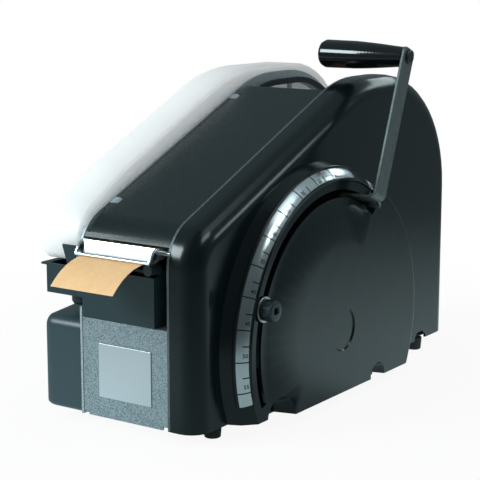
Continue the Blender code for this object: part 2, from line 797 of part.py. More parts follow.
def foot_bracket(parent):
    """Angle on the right plate that carries the right-hand feet under the cover."""
    inner = COVER_INNER_X
    edge = COVER_OUTER_X - COVER_WALL - 0.001
    low_y, high_y = TONGUE_Y
    front = COVER_EDGE_RADIUS + 0.004
    rear = REAR_FOOT_Y + 0.026
    plan = [
        (inner, front),
        (edge, front),
        (edge, low_y),
        (TONGUE_X, low_y),
        (TONGUE_X, high_y),
        (edge, high_y),
        (edge, rear),
        (inner, rear),
    ]
    bm = bmesh.new()
    prism_z(bm, plan, BASE_Z, BASE_Z + SHEET)
    bracket = add("foot_bracket", bm, steel(), parent)
    bm = bmesh.new()
    box(bm, (inner, front, BASE_Z + 0.0005), (inner + SHEET, rear, BASE_Z + BRACKET_FLANGE))
    return join(bracket, "bracket_flange", bm, parent)


LEFT_FOOT_TOP_Z = SKIRT_Z - GAP
FEET = {  # x, y and top
    "foot_right_front": (0.0720, 0.042, FOOT_TOP_Z),
    "foot_right_front_inner": (0.082, 0.150, FOOT_TOP_Z),
    "foot_right_rear_inner": (0.084, 0.310, FOOT_TOP_Z),
    "foot_right_rear": (0.0765, REAR_FOOT_Y, FOOT_TOP_Z),
    "foot_left_front": (-0.0765, 0.042, LEFT_FOOT_TOP_Z),
    "foot_left_rear": (-0.0765, REAR_FOOT_Y, LEFT_FOOT_TOP_Z),
}


def feet(parent):
    rubber = black_rubber()
    for name, (x, y, top) in FEET.items():
        bm = bmesh.new()
        profile = [(0, FOOT_RADIUS * 0.82), (0.0012, FOOT_RADIUS * 0.9), (top - 0.001, FOOT_RADIUS), (top, FOOT_RADIUS)]
        turned_z(bm, profile, (x, y), 16)
        add(name, bm, rubber, parent)


# Lever and drive


def across_dial(degrees, radius, sideways):
    """(y, z) at a radius of the dial, moved sideways off it."""
    angle = math.radians(degrees)
    y = DIAL_Y - math.cos(angle) * radius + math.sin(angle) * sideways
    return y, DIAL_Z + math.sin(angle) * radius + math.cos(angle) * sideways


def radial_bar(bm, degrees, r_low, r_high, half_width, x_low, x_high, corner=0.0):
    """Flat bar along a radius of the dial; corner rounds the two corners of its outer end."""
    segments = 6 if corner else 1
    outline = rounded([
        (r_low, -half_width, 0, 1),
        (r_low, half_width, 0, 1),
        (r_high, half_width, corner, segments),
        (r_high, -half_width, corner, segments),
    ])
    prism_x(bm, [across_dial(degrees, r, w) for r, w in outline], x_low, x_high)


TAB_INNER_RADIUS = 0.098
GRIP_BORE = 0.0042
LEVER_TOP = GRIP_RADIUS_FROM_DIAL + LEVER_END


def bent_bar_section():
    """(x, radius) round the bar's edge: the tab beside the drive arm, the foot in the slot, the outer bar."""
    low, high = SLOT_RADIUS - LEVER_THICKNESS / 2, SLOT_RADIUS + LEVER_THICKNESS / 2
    outside = LEVER_BEND + LEVER_THICKNESS
    return rounded([
        (LEVER_TAB_X, TAB_INNER_RADIUS, 0, 1),
        (LEVER_TAB_X, high, outside, 6),
        (LEVER_X, high, LEVER_BEND, 6),
        (LEVER_X, LEVER_TOP, 0, 1),
        (LEVER_X + LEVER_THICKNESS, LEVER_TOP, 0, 1),
        (LEVER_X + LEVER_THICKNESS, low, outside, 6),
        (LEVER_TAB_X + LEVER_THICKNESS, low, LEVER_BEND, 6),
        (LEVER_TAB_X + LEVER_THICKNESS, TAB_INNER_RADIUS, 0, 1),
    ])


def lever_arm(parent, origin):
    """Flat bar bent twice: outside along the drum, through the slot, and back along the drive arm."""
    half = LEVER_WIDTH / 2
    outer_x = LEVER_X + LEVER_THICKNESS
    section = bent_bar_section()
    bm = bmesh.new()
    loft(bm, [[(x, *across_dial(LEVER_REST, r, w)) for x, r in section] for w in (-half * 1.2, half * 1.2)])
    arm = add("lever_arm", bm, hammered_paint(), parent, origin)
    # What the bar's outline leaves of that bent sheet, seen from the side.
    bm = bmesh.new()
    low = TAB_INNER_RADIUS - 0.01
    radial_bar(bm, LEVER_REST, low, LEVER_TOP, half, LEVER_TAB_X - 0.01, outer_x + 0.01, LEVER_CORNER)
    combine(arm, "lever_outline", bm, "INTERSECT", parent)
    bm = bmesh.new()
    y, z = polar(GRIP_RADIUS_FROM_DIAL, LEVER_REST)
    rod(bm, (LEVER_X - 0.01, y, z), (outer_x + 0.01, y, z), GRIP_BORE + RUNNING, 16)
    return cut(arm, "grip_hole", bm, parent)


def lever_grip(parent):
    y, z = polar(GRIP_RADIUS_FROM_DIAL, LEVER_REST)
    right = LEVER_X - GAP
    left = right - GRIP_LENGTH
    bore = GRIP_BORE + RUNNING
    section = [(left + 0.010, bore)]
    section += [(left + 0.0005, bore + 0.004), (left, GRIP_FAT - 0.006), (left + 0.0018, GRIP_FAT - 0.002), (left + 0.006, GRIP_FAT)]
    for i in range(1, 6):
        share = i / 6
        radius = GRIP_FAT + (GRIP_THIN - GRIP_FAT) * (0.25 * share + 0.75 * share**1.7)
        section.append((left + 0.030 + (GRIP_LENGTH - 0.034) * share, radius))
    section += [(right - 0.0015, GRIP_THIN), (right, GRIP_THIN - 0.0012), (right, bore)]
    bm = bmesh.new()
    ring_x(bm, section, (y, z), 28)
    return add("lever_grip", bm, finish("gloss_phenolic", (0.008, 0.008, 0.009), 0.12), parent, (right, y, z))


def grip_bolt(parent, origin):
    """Shoulder bolt that carries the grip, riveted to the arm."""
    y, z = polar(GRIP_RADIUS_FROM_DIAL, LEVER_REST)
    left = LEVER_X - GAP - GRIP_LENGTH
    outer = LEVER_X + LEVER_THICKNESS
    bm = bmesh.new()
    profile = [(left + 0.012, GRIP_BORE), (outer + GAP, GRIP_BORE), (outer + GAP, 0.0072), (outer + 0.002, 0.0072), (outer + 0.003, 0.0058)]
    turned(bm, profile, (y, z), 20)
    return add("grip_bolt", bm, dark_steel(), parent, origin)


DRIVE_ARM_X = 0.0825
HUB_RADIUS = 0.015
DRIVE_ARM_REACH = 0.126


def drive_arm(parent, origin):
    """Bar from the hub to the lever's tab, with the hub's long boss towards the sector."""
    high = LEVER_TAB_X - GAP
    bm = bmesh.new()
    radial_bar(bm, LEVER_REST, 0.0, DRIVE_ARM_REACH, 0.010, DRIVE_ARM_X, high)
    arm = add("drive_arm", bm, dark_steel(), parent, origin)
    bm = bmesh.new()
    turned(bm, [(SECTOR_X + GEAR_WIDTH + GAP, HUB_RADIUS), (high + 0.002, HUB_RADIUS)], (DIAL_Y, DIAL_Z), 24)
    join(arm, "drive_boss", bm, parent)
    bm = bmesh.new()
    rod(bm, (0.05, DIAL_Y, DIAL_Z), (0.11, DIAL_Y, DIAL_Z), MAIN_SHAFT_RADIUS + RUNNING, 20)
    return cut(arm, "drive_bore", bm, parent)


def tooth_outline(teeth, first, count, centre, phase):
    """Outline of consecutive teeth: root, flank, tip, tip, flank, root for each, by rising angle."""
    pitch = 360.0 / teeth
    radius = MODULE * teeth / 2
    points = []
    for i in range(first, first + count):
        middle = phase + pitch * i
        for share, r in ((-0.33, radius - 1.15 * MODULE), (-0.205, radius), (-0.10, radius + 0.78 * MODULE)):
            points.append(polar(r, middle + share * pitch, centre))
        for share, r in ((0.10, radius + 0.78 * MODULE), (0.205, radius), (0.33, radius - 1.15 * MODULE)):
            points.append(polar(r, middle + share * pitch, centre))
    return points


SECTOR_SPARE = 9.0  # degrees of toothed rim beyond the throw, each way


def drive_gear(parent, origin):
    """Toothed sector on the lever's hub."""
    pitch = 360.0 / SECTOR_TEETH
    start = TRAIN_ANGLE - SECTOR_SPARE
    count = round((LEVER_THROW + 2 * SECTOR_SPARE) / pitch)
    first = -round(SECTOR_SPARE / pitch)
    teeth = tooth_outline(SECTOR_TEETH, first, count, (DIAL_Y, DIAL_Z), TRAIN_ANGLE)
    hub = [polar(HUB_RADIUS + 0.007, start + LEVER_THROW + 2 * SECTOR_SPARE + 30 + (360 - 200) * i / 10) for i in range(11)]
    bm = bmesh.new()
    prism_x(bm, teeth + hub, SECTOR_X, SECTOR_X + GEAR_WIDTH)
    gear = add("drive_gear", bm, dark_steel(), parent, origin)
    bm = bmesh.new()
    rod(bm, (0.05, DIAL_Y, DIAL_Z), (0.09, DIAL_Y, DIAL_Z), MAIN_SHAFT_RADIUS + RUNNING, 20)
    middle = TRAIN_ANGLE + LEVER_THROW / 2
    rings = []
    for i in range(9):
        angle = middle - 33 + 66 * i / 8
        a, b = polar(0.042, angle), polar(0.088, angle)
        rings.append([(0.05, *a), (0.09, *a), (0.09, *b), (0.05, *b)])
    loft(bm, rings)
    return cut(gear, "sector_openings", bm, parent)


def main_shaft(parent):
    """Fixed stub axle of the lever, shouldered on the right plate."""
    inner = PLATE_IN - 0.006
    profile = [
        (inner, 0.011),
        (PLATE_IN - GAP, 0.011),
        (PLATE_IN - GAP, MAIN_SHAFT_RADIUS),
        (0.0955, MAIN_SHAFT_RADIUS),
        (0.0965, MAIN_SHAFT_RADIUS - 0.001),
    ]
    bm = bmesh.new()
    turned(bm, profile, (DIAL_Y, DIAL_Z), 20)
    return add("main_shaft", bm, steel(), parent)


def meshing_phase(teeth, centre, towards):
    """Phase, in degrees, that puts the middle of a tooth space on the line from centre to towards."""
    angle = math.degrees(math.atan2(towards[1] - centre[1], -(towards[0] - centre[0])))
    return angle + 180.0 / teeth


def idler_gear(parent):
    """Cluster gear: the small wheel meshes with the sector, the large one with the feed pinion."""
    idler, _ = shaft_centres()
    small_phase = meshing_phase(IDLER_SMALL_TEETH, idler, (DIAL_Y, DIAL_Z))
    bm = bmesh.new()
    outline = tooth_outline(IDLER_SMALL_TEETH, 0, IDLER_SMALL_TEETH, idler, small_phase)
    prism_x(bm, outline, IDLER_X + GEAR_WIDTH - 0.001, SECTOR_X + GEAR_WIDTH)
    gear = add("idler_gear", bm, dark_steel(), parent, (IDLER_X, *idler))
    bm = bmesh.new()
    outline = tooth_outline(IDLER_LARGE_TEETH, 0, IDLER_LARGE_TEETH, idler, 0.0)
    prism_x(bm, outline, IDLER_X, IDLER_X + GEAR_WIDTH)
    join(gear, "idler_wheel", bm, parent)
    bm = bmesh.new()
    rod(bm, (0.05, *idler), (0.09, *idler), SMALL_SHAFT_RADIUS + RUNNING, 20)
    return cut(gear, "idler_bore", bm, parent)


def idler_shaft(parent):
    idler, _ = shaft_centres()
    head = SMALL_SHAFT_RADIUS + 0.0035
    end = SECTOR_X + GEAR_WIDTH + GAP
    profile = [
        (PLATE_IN - 0.004, head),
        (PLATE_IN - GAP, head),
        (PLATE_IN - GAP, SMALL_SHAFT_RADIUS),
        (end, SMALL_SHAFT_RADIUS),
        (end, head - 0.001),
        (end + 0.0015, head - 0.001),
    ]
    bm = bmesh.new()
    turned(bm, profile, idler, 20)
    return add("idler_shaft", bm, steel(), parent)


BUSH_RADIUS = 0.009
BUSH_FLANGE = 0.0125


def feed_pinion(parent):
    """Pinion over a one-way roller clutch on the feed shaft."""
    idler, feed = shaft_centres()
    angle = math.degrees(math.atan2(feed[1] - idler[1], -(feed[0] - idler[0])))
    large_pitch = 360.0 / IDLER_LARGE_TEETH
    # A tooth of the large wheel may stand off the line of centres by this share of a pitch.
    offset = (angle / large_pitch + 0.5) % 1.0 - 0.5
    phase = meshing_phase(FEED_TEETH, feed, idler) + offset * 360.0 / FEED_TEETH
    bm = bmesh.new()
    prism_x(bm, tooth_outline(FEED_TEETH, 0, FEED_TEETH, feed, phase), IDLER_X, IDLER_X + GEAR_WIDTH)
    gear = add("feed_pinion", bm, dark_steel(), parent, (IDLER_X, *feed))
    bm = bmesh.new()
    turned(bm, [(IDLER_X + GEAR_WIDTH - 0.001, 0.011), (IDLER_X + GEAR_WIDTH + 0.007, 0.011)], feed, 24)
    join(gear, "clutch_barrel", bm, parent)
    bm = bmesh.new()
    rod(bm, (0.05, *feed), (0.09, *feed), SMALL_SHAFT_RADIUS + RUNNING, 20)
    return cut(gear, "pinion_bore", bm, parent)


def feed_shaft(parent):
    _, feed = shaft_centres()
    bm = bmesh.new()
    left = -PLATE_OUT - 0.002
    right = IDLER_X + GEAR_WIDTH + 0.009
    turned(bm, [(left, SMALL_SHAFT_RADIUS), (right, SMALL_SHAFT_RADIUS)], feed, 20)
    return add("feed_shaft", bm, steel(), parent, (0.0, *feed))


def feed_roller(parent):
    _, feed = shaft_centres()
    half = TAPE_WIDTH / 2 + 0.0015
    bore = SMALL_SHAFT_RADIUS + RUNNING
    section = [(-half, bore), (-half, FEED_ROLLER_RADIUS - 0.001), (-half + 0.001, FEED_ROLLER_RADIUS)]
    section += [(half - 0.001, FEED_ROLLER_RADIUS), (half, FEED_ROLLER_RADIUS - 0.001), (half, bore)]
    bm = bmesh.new()
    ring_x(bm, section, feed, 32)
    return add("feed_roller", bm, black_rubber(), parent, (0.0, *feed))


def feed_bushes(parent):
    _, feed = shaft_centres()
    bronze = finish("bronze", (0.45, 0.28, 0.12), 0.4, 1.0)
    for side, name in ((-1, "feed_bush_left"), (1, "feed_bush_right")):
        inner = PLATE_IN - GAP
        section = [
            (inner - 0.002, SMALL_SHAFT_RADIUS + RUNNING),
            (PLATE_OUT, SMALL_SHAFT_RADIUS + RUNNING),
            (PLATE_OUT, BUSH_RADIUS),
            (inner, BUSH_RADIUS),
            (inner, BUSH_FLANGE),
            (inner - 0.002, BUSH_FLANGE),
        ]
        bm = bmesh.new()
        ring_x(bm, [(side * x, r) for x, r in section], feed, 20)
        add(name, bm, bronze, parent)


def pressure_roller(parent):
    centre = press_centre()
    half = TAPE_WIDTH / 2
    journal = 0.003
    end = YOKE_ARM_X - YOKE_SHEET / 2 + 0.0035
    profile = [(-end, journal), (-half, journal), (-half, PRESS_ROLLER_RADIUS)]
    profile += [(half, PRESS_ROLLER_RADIUS), (half, journal), (end, journal)]
    bm = bmesh.new()
    turned(bm, profile, centre, 24)
    return add("pressure_roller", bm, steel(), parent, (0.0, *centre))


YOKE_ARM_X = 0.044
YOKE_SHEET = 0.002


def pressure_yoke(parent):
    """Cradle of the pressure roller: two arms and a bridge behind the roller."""
    pivot = YOKE_PIVOT
    front = press_centre()
    direction = unit(front[0] - pivot[0], front[1] - pivot[1])
    normal = (-direction[1], direction[0])
    half = 0.0062
    length = math.hypot(front[0] - pivot[0], front[1] - pivot[1])

    def at(along, across):
        return pivot[0] + direction[0] * along + normal[0] * across, pivot[1] + direction[1] * along + normal[1] * across

    outline = []
    for i in range(9):
        turn = math.pi / 2 + math.pi * i / 8
        outline.append(at(half * math.cos(turn), half * math.sin(turn)))
    for i in range(9):
        turn = -math.pi / 2 + math.pi * i / 8
        outline.append(at(length + half * math.cos(turn), half * math.sin(turn)))
    bm = bmesh.new()
    prism_x(bm, outline, -YOKE_ARM_X - YOKE_SHEET / 2, -YOKE_ARM_X + YOKE_SHEET / 2)
    yoke = add("pressure_yoke", bm, steel(), parent, (0.0, *pivot))
    bm = bmesh.new()
    prism_x(bm, outline, YOKE_ARM_X - YOKE_SHEET / 2, YOKE_ARM_X + YOKE_SHEET / 2)
    join(yoke, "yoke_right_arm", bm, parent)
    bm = bmesh.new()
    bridge = [at(0.010, -half), at(0.026, -half), at(0.026, -half + YOKE_SHEET), at(0.010, -half + YOKE_SHEET)]
    if at(0.0, -half)[1] < at(0.0, half)[1]:
        bridge = [at(0.010, half), at(0.026, half), at(0.026, half - YOKE_SHEET), at(0.010, half - YOKE_SHEET)]
    reach = YOKE_ARM_X + YOKE_SHEET / 2 - 0.0002
    prism_x(bm, bridge, -reach, reach)
    join(yoke, "yoke_bridge", bm, parent)
    bm = bmesh.new()
    rod(bm, (-0.06, *pivot), (0.06, *pivot), YOKE_ROD_RADIUS + RUNNING, 16)
    rod(bm, (-0.06, *front), (0.06, *front), 0.003 + RUNNING, 16)
    return cut(yoke, "yoke_bores", bm, parent)


def yoke_rod(parent):
    bm = bmesh.new()
    end = PLATE_OUT - 0.0002
    turned(bm, [(-end, YOKE_ROD_RADIUS), (end, YOKE_ROD_RADIUS)], YOKE_PIVOT, 16)
    return add("yoke_rod", bm, steel(), parent)


# Tape path and cutter

CHUTE_Y = (0.060, 0.094)
CHUTE_SHEET = 0.0015
CUTTER_Y = 0.050
BED_DEPTH = 0.007
POST_X = 0.0445
POST_Y = 0.0435
POST_RADIUS = 0.003
PAD_Z = (0.166, 0.172)
BLADE_TRAVEL = 0.008


def tape_chute(parent):
    """Sheet under the tape between the feed roller and the cutter, with side lips."""
    y0, y1 = CHUTE_Y
    drop = 0.0006
    bm = bmesh.new()
    outline = [(y0, tape_z(y0) - drop), (y1, tape_z(y1) - drop), (y1, tape_z(y1) - drop - CHUTE_SHEET), (y0, tape_z(y0) - drop - CHUTE_SHEET)]
    prism_x(bm, outline, -SPAN, SPAN)
    chute = add("tape_chute", bm, steel(), parent)
    for side in (-1, 1):
        bm = bmesh.new()
        x = side * (TAPE_WIDTH / 2 + 0.002)
        lip = [(y0, tape_z(y0) + 0.006), (y1, tape_z(y1) + 0.006), (y1, tape_z(y1) - drop - 0.001), (y0, tape_z(y0) - drop - 0.001)]
        prism_x(bm, lip, min(x, x + side * CHUTE_SHEET), max(x, x + side * CHUTE_SHEET))
        join(chute, "chute_lip", bm, parent)
    return chute


def fixed_blade(parent):
    """Lower blade with the pads that carry the guide posts."""
    top = tape_z(CUTTER_Y) - 0.0005
    bm = bmesh.new()
    outline = [(CUTTER_Y, PAD_Z[0]), (CUTTER_Y, top), (CUTTER_Y + BED_DEPTH, top - 0.0015), (CUTTER_Y + BED_DEPTH, PAD_Z[0])]
    prism_x(bm, outline, -SPAN, SPAN)
    blade = add("fixed_blade", bm, steel(), parent)
    for side in (-1, 1):
        bm = bmesh.new()
        x0, x1 = sorted((side * 0.0400, side * (SPAN - 0.0002)))
        box(bm, (x0, POST_Y - 0.0055, PAD_Z[0] + 0.0002), (x1, CUTTER_Y + 0.002, PAD_Z[1]))
        join(blade, "post_pad", bm, parent)
    return blade


def moving_blade(parent):
    """Upper blade with a shallow V edge, and the ears that slide on the posts."""
    low = tape_z(CUTTER_Y) + TAPE_THICKNESS + 0.0012
    high = low + 0.012
    back = CUTTER_Y - GAP
    half = POST_X + 0.005
    bm = bmesh.new()
    outline = [(-half, low), (-half, high), (half, high), (half, low), (0.0, low + 0.003)]
    prism_y(bm, outline, back - 0.0015, back)
    blade = add("moving_blade", bm, steel(), parent)
    for side in (-1, 1):
        bm = bmesh.new()
        x0, x1 = sorted((side * (POST_X - 0.0048), side * (half - 0.0002)))
        box(bm, (x0, POST_Y - 0.005, high - 0.0025), (x1, back - 0.0005, high - 0.0002))
        join(blade, "blade_ear", bm, parent)
        bm = bmesh.new()
        rod(bm, (side * POST_X, POST_Y, high - 0.01), (side * POST_X, POST_Y, high + 0.01), POST_RADIUS + RUNNING, 14)
        cut(blade, "ear_bore", bm, parent)
    return blade


def blade_posts(parent):
    for side, name in ((-1, "blade_post_left"), (1, "blade_post_right")):
        bm = bmesh.new()
        top = tape_z(CUTTER_Y) + 0.0155
        profile = [(PAD_Z[1] + GAP, POST_RADIUS), (top - 0.0006, POST_RADIUS), (top, POST_RADIUS - 0.0006)]
        turned_z(bm, profile, (side * POST_X, POST_Y), 14)
        add(name, bm, steel(), parent)


def tape_path():
    """(y, z) of the tape's lower face, from the roll to its free end."""
    roll = roll_centre()
    feed = shaft_centres()[1]
    points = [(roll[0] - 0.004, roll[1] + ROLL_RADIUS + GAP + 0.0002), (feed[0] + 0.020, nip_z() + 0.0008)]
    points += [(feed[0], nip_z()), (CUTTER_Y, tape_z(CUTTER_Y)), (0.0, tape_z(0.0)), (EXIT_Y, EXIT_Z)]
    droop = (0.010, 0.0012), (0.018, 0.0036), (0.026, 0.0073), (0.033, 0.0118), (0.040, 0.0175)
    slope = (nip_z() - EXIT_Z) / (feed[0] - EXIT_Y)
    for ahead, down in droop:
        points.append((EXIT_Y - ahead, EXIT_Z - slope * ahead * 0.4 - down))
    return points


def tape_strip(parent):
    half = TAPE_WIDTH / 2
    rings = []
    for y, z in tape_path():
        top = z + TAPE_THICKNESS
        rings.append([(-half, y, z), (half, y, z), (half, y, top), (-half, y, top)])
    bm = bmesh.new()
    loft(bm, rings)
    return add("tape_strip", bm, finish("kraft_paper", (0.62, 0.38, 0.18), 0.7), parent)


def tape_roll(parent):
    centre = roll_centre()
    half = TAPE_WIDTH / 2
    section = [(-half, CORE_RADIUS), (-half, ROLL_RADIUS), (half, ROLL_RADIUS), (half, CORE_RADIUS)]
    bm = bmesh.new()
    ring_x(bm, section, centre, 48)
    return add("tape_roll", bm, finish("kraft_roll", (0.58, 0.36, 0.18), 0.75), parent, (0.0, *centre))


def roll_core(parent):
    centre = roll_centre()
    half = TAPE_WIDTH / 2
    outer = CORE_RADIUS - GAP
    section = [(-half, outer - CORE_WALL), (-half, outer), (half, outer), (half, outer - CORE_WALL)]
    bm = bmesh.new()
    ring_x(bm, section, centre, 28)
    return add("roll_core", bm, finish("grey_board", (0.30, 0.26, 0.22), 0.8), parent, (0.0, *centre))


SUPPORT_PIN_RADIUS = 0.003


def support_rollers(parent):
    for side, name in ((-1, "roll_support_front"), (1, "roll_support_rear")):
        centre = (ROLL_Y + side * SUPPORT_SPREAD, SUPPORT_Z)
        half = TAPE_WIDTH / 2 + 0.005
        end = PLATE_OUT - 0.0002
        profile = [(-end, SUPPORT_PIN_RADIUS), (-half, SUPPORT_PIN_RADIUS), (-half, SUPPORT_RADIUS)]
        profile += [(half, SUPPORT_RADIUS), (half, SUPPORT_PIN_RADIUS), (end, SUPPORT_PIN_RADIUS)]
        bm = bmesh.new()
        turned(bm, profile, centre, 20)
        add(name, bm, steel(), parent, (0.0, *centre))


# Stop


def stop_pieces(parent, origin):
    y, z = polar(SLOT_RADIUS, STOP_REST)
    knob_x = STOP_SEAT_X + 0.002 + GAP
    bm = bmesh.new()
    washer = [(STOP_SEAT_X, STOP_STUD_RADIUS + RUNNING), (STOP_SEAT_X, STOP_WASHER_RADIUS)]
    washer += [(STOP_SEAT_X + 0.002, STOP_WASHER_RADIUS), (STOP_SEAT_X + 0.002, STOP_STUD_RADIUS + RUNNING)]
    ring_x(bm, washer, (y, z), 24)
    add("stop_washer", bm, steel(), parent, origin)

    bore = STOP_STUD_RADIUS + RUNNING
    end = knob_x + STOP_KNOB_LENGTH
    section = [(knob_x, bore), (knob_x, STOP_KNOB_RADIUS - 0.001), (knob_x + 0.001, STOP_KNOB_RADIUS)]
    section += [(end - 0.001, STOP_KNOB_RADIUS), (end, STOP_KNOB_RADIUS - 0.001)]
    section += [(end, bore)]
    bm = bmesh.new()
    ring_x(bm, section, (y, z), 24)
    add("stop_knob", bm, dark_steel(), parent, (knob_x, y, z))

    inner = TRACK_X - 0.0145
    bm = bmesh.new()
    turned(bm, [(inner, STOP_STUD_RADIUS), (end - 0.003, STOP_STUD_RADIUS)], (y, z), 16)
    add("stop_stud", bm, dark_steel(), parent, origin)

    bm = bmesh.new()
    low, high = inner - 0.001, TRACK_X - COVER_WALL - 0.0012
    radial_bar(bm, STOP_REST, SLOT_RADIUS - 0.0065, SLOT_RADIUS + 0.0065, 0.006, low, high)
    block = add("stop_block", bm, dark_steel(), parent, origin)
    bm = bmesh.new()
    rod(bm, (low - 0.01, y, z), (high + 0.01, y, z), STOP_STUD_RADIUS + RUNNING, 16)
    cut(block, "block_bore", bm, parent)


# Top and front


def lid(parent):
    """Moulded lid between the plates: nose, sloping top and the beaded left edge that turns on the hinge rod."""
    start, along, out = slope_frame()
    origin = hinge_axis_point(0.0)
    outer = [p for p in rounded(flank_corners(), LID_SINK) if p[1] > LID_FRONT_Z and p[0] < LID_REAR_Y - 0.004]
    inner = [p for p in rounded(flank_corners(), LID_SINK + LID_THICKNESS) if p[1] > LID_FRONT_Z and p[0] < LID_REAR_Y - 0.004]
    front_y = NOSE_RADIUS - math.sqrt((NOSE_RADIUS - LID_SINK) ** 2 - (LID_FRONT_Z - nose_centre_z()) ** 2)
    front_in = NOSE_RADIUS - math.sqrt((NOSE_RADIUS - LID_SINK - LID_THICKNESS) ** 2 - (LID_FRONT_Z - nose_centre_z()) ** 2)
    outer = [(front_y, LID_FRONT_Z), *outer, (LID_REAR_Y, flank_top(LID_REAR_Y, LID_SINK))]
    inner = [(front_in, LID_FRONT_Z), *inner, (LID_REAR_Y, flank_top(LID_REAR_Y, LID_SINK + LID_THICKNESS))]
    bm = bmesh.new()
    prism_x(bm, outer + inner[::-1], HINGE_X, SPAN)
    body = add("lid", bm, black_moulding(), parent, origin)

    low_enough = start.z - (BEAD_RADIUS + 0.0015) / math.cos(SLOPE)
    tan = math.tan(SLOPE)
    nose_outer = [p for p in outer if p[1] < low_enough + tan * p[0]]
    nose_inner = inner[: len(nose_outer)]
    bm = bmesh.new()
    prism_x(bm, nose_outer + nose_inner[::-1], -PLATE_IN + 0.0005, HINGE_X + 0.001)
    join(body, "lid_nose_corner", bm, parent)

    bm = bmesh.new()
    first, last = 0.036, LID_LENGTH - 0.005
    rod(bm, hinge_axis_point(first), hinge_axis_point(last), BEAD_RADIUS, 20)
    join(body, "lid_bead", bm, parent)
    bm = bmesh.new()
    rod(bm, hinge_axis_point(first - 0.01), hinge_axis_point(last + 0.01), HINGE_ROD_RADIUS + RUNNING, 12)
    cut(body, "lid_bore", bm, parent)
    for place in LUG_PLACES:
        centre = hinge_axis_point(place)
        half = along * (LUG_LENGTH / 2 + 0.0005)
        reach = BEAD_RADIUS + 0.0012
        corners = [(-PLATE_IN - 0.01 - HINGE_X, -0.012), (-PLATE_IN - 0.01 - HINGE_X, 0.012), (reach, 0.012), (reach, -0.012)]
        bm = bmesh.new()
        loft(bm, [[centre + shift + Vector((x, 0, 0)) + out * n for x, n in corners] for shift in (-half, half)])
        cut(body, "lug_gap", bm, parent)
    return body


def nose_centre_z():
    return SLOPE_FOOT_Z - NOSE_RADIUS / math.cos(SLOPE) + NOSE_RADIUS * math.tan(SLOPE)


def lid_hinge_rod(parent):
    bm = bmesh.new()
    rod(bm, hinge_axis_point(0.040), hinge_axis_point(LID_LENGTH - 0.011), HINGE_ROD_RADIUS, 12)
    return add("lid_hinge_rod", bm, steel(), parent)


PRESS_HALF = 0.0465
PRESS_SHEET = 0.0018
EAR_RADIUS = 0.0044


def pressure_plate(parent):
    """Folded channel over the tape's way out, hung on a rod through its two ears."""
    y, z = PRESS_ROD
    origin = (0.0, y, z)
    outer = [
        (0.0036, 0.1832),
        (-0.0010, 0.1860),
        (-0.0035, 0.1862),
        (EXIT_Y + 0.0035, EXIT_Z + 0.0035),
        (EXIT_Y - 0.0010, EXIT_Z + 0.0022),
    ]
    inner = [(outer[0][0] - 0.0004, outer[0][1] - PRESS_SHEET)]
    inner += [(outer[1][0], outer[1][1] - PRESS_SHEET), (outer[2][0] + 0.0009, outer[2][1] - PRESS_SHEET)]
    inner += [(outer[3][0] + 0.0011, outer[3][1] - 0.0014), (outer[4][0] + 0.0002, outer[4][1] - 0.0014)]
    bm = bmesh.new()
    prism_x(bm, outer + inner[::-1], -PRESS_HALF, PRESS_HALF)
    plate = add("pressure_plate", bm, finish("satin_chrome", (0.80, 0.80, 0.80), 0.25, 1.0), parent, origin)
    ear = [(outer[3][0] + 0.002, outer[3][1] - 0.0012), (outer[3][0], outer[3][1] - 0.0004)]
    ear += [(outer[2][0], outer[2][1] - 0.0004), (outer[1][0], outer[1][1] - 0.0004)]
    for i in range(9):
        turn = math.radians(20 - 110 * i / 8)
        ear.append((y + EAR_RADIUS * math.cos(turn), z + EAR_RADIUS * math.sin(turn)))
    for side in (-1, 1):
        bm = bmesh.new()
        x0, x1 = sorted((side * (PRESS_HALF - 0.0002), side * (PRESS_HALF - PRESS_SHEET)))
        prism_x(bm, ear, x0, x1)
        join(plate, "pressure_ear", bm, parent)
    bm = bmesh.new()
    rod(bm, (-0.06, y, z), (0.06, y, z), PRESS_ROD_RADIUS + RUNNING, 14)
    return cut(plate, "pressure_bore", bm, parent)


def pressure_plate_rod(parent):
    bm = bmesh.new()
    end = PLATE_OUT - 0.0002
    turned(bm, [(-end, PRESS_ROD_RADIUS), (end, PRESS_ROD_RADIUS)], PRESS_ROD, 14)
    return add("pressure_plate_rod", bm, steel(), parent)


WELL = (-0.0735, 0.030, 0.012)
WELL_FLOOR_Z = 0.113
TANK_FRONT_Y = 0.0003
LIP_WIDTH = 0.007


def tank_corners(inset, top):
    """Tank section, clockwise from its lower left corner; open upwards when top lies above the rim."""
    floor = PANEL_TOP_Z + GAP
    step_x = -PLATE_IN + 0.0006
    return [
        (TANK_LEFT_X + inset, TANK_LEFT_FLOOR_Z + inset),
        (TANK_LEFT_X + inset, top),
        (TANK_RIGHT_X - inset, top),
        (TANK_RIGHT_X - inset, floor + inset),
        (step_x + inset, floor + inset),
        (step_x + inset, TANK_LEFT_FLOOR_Z + inset),
    ]


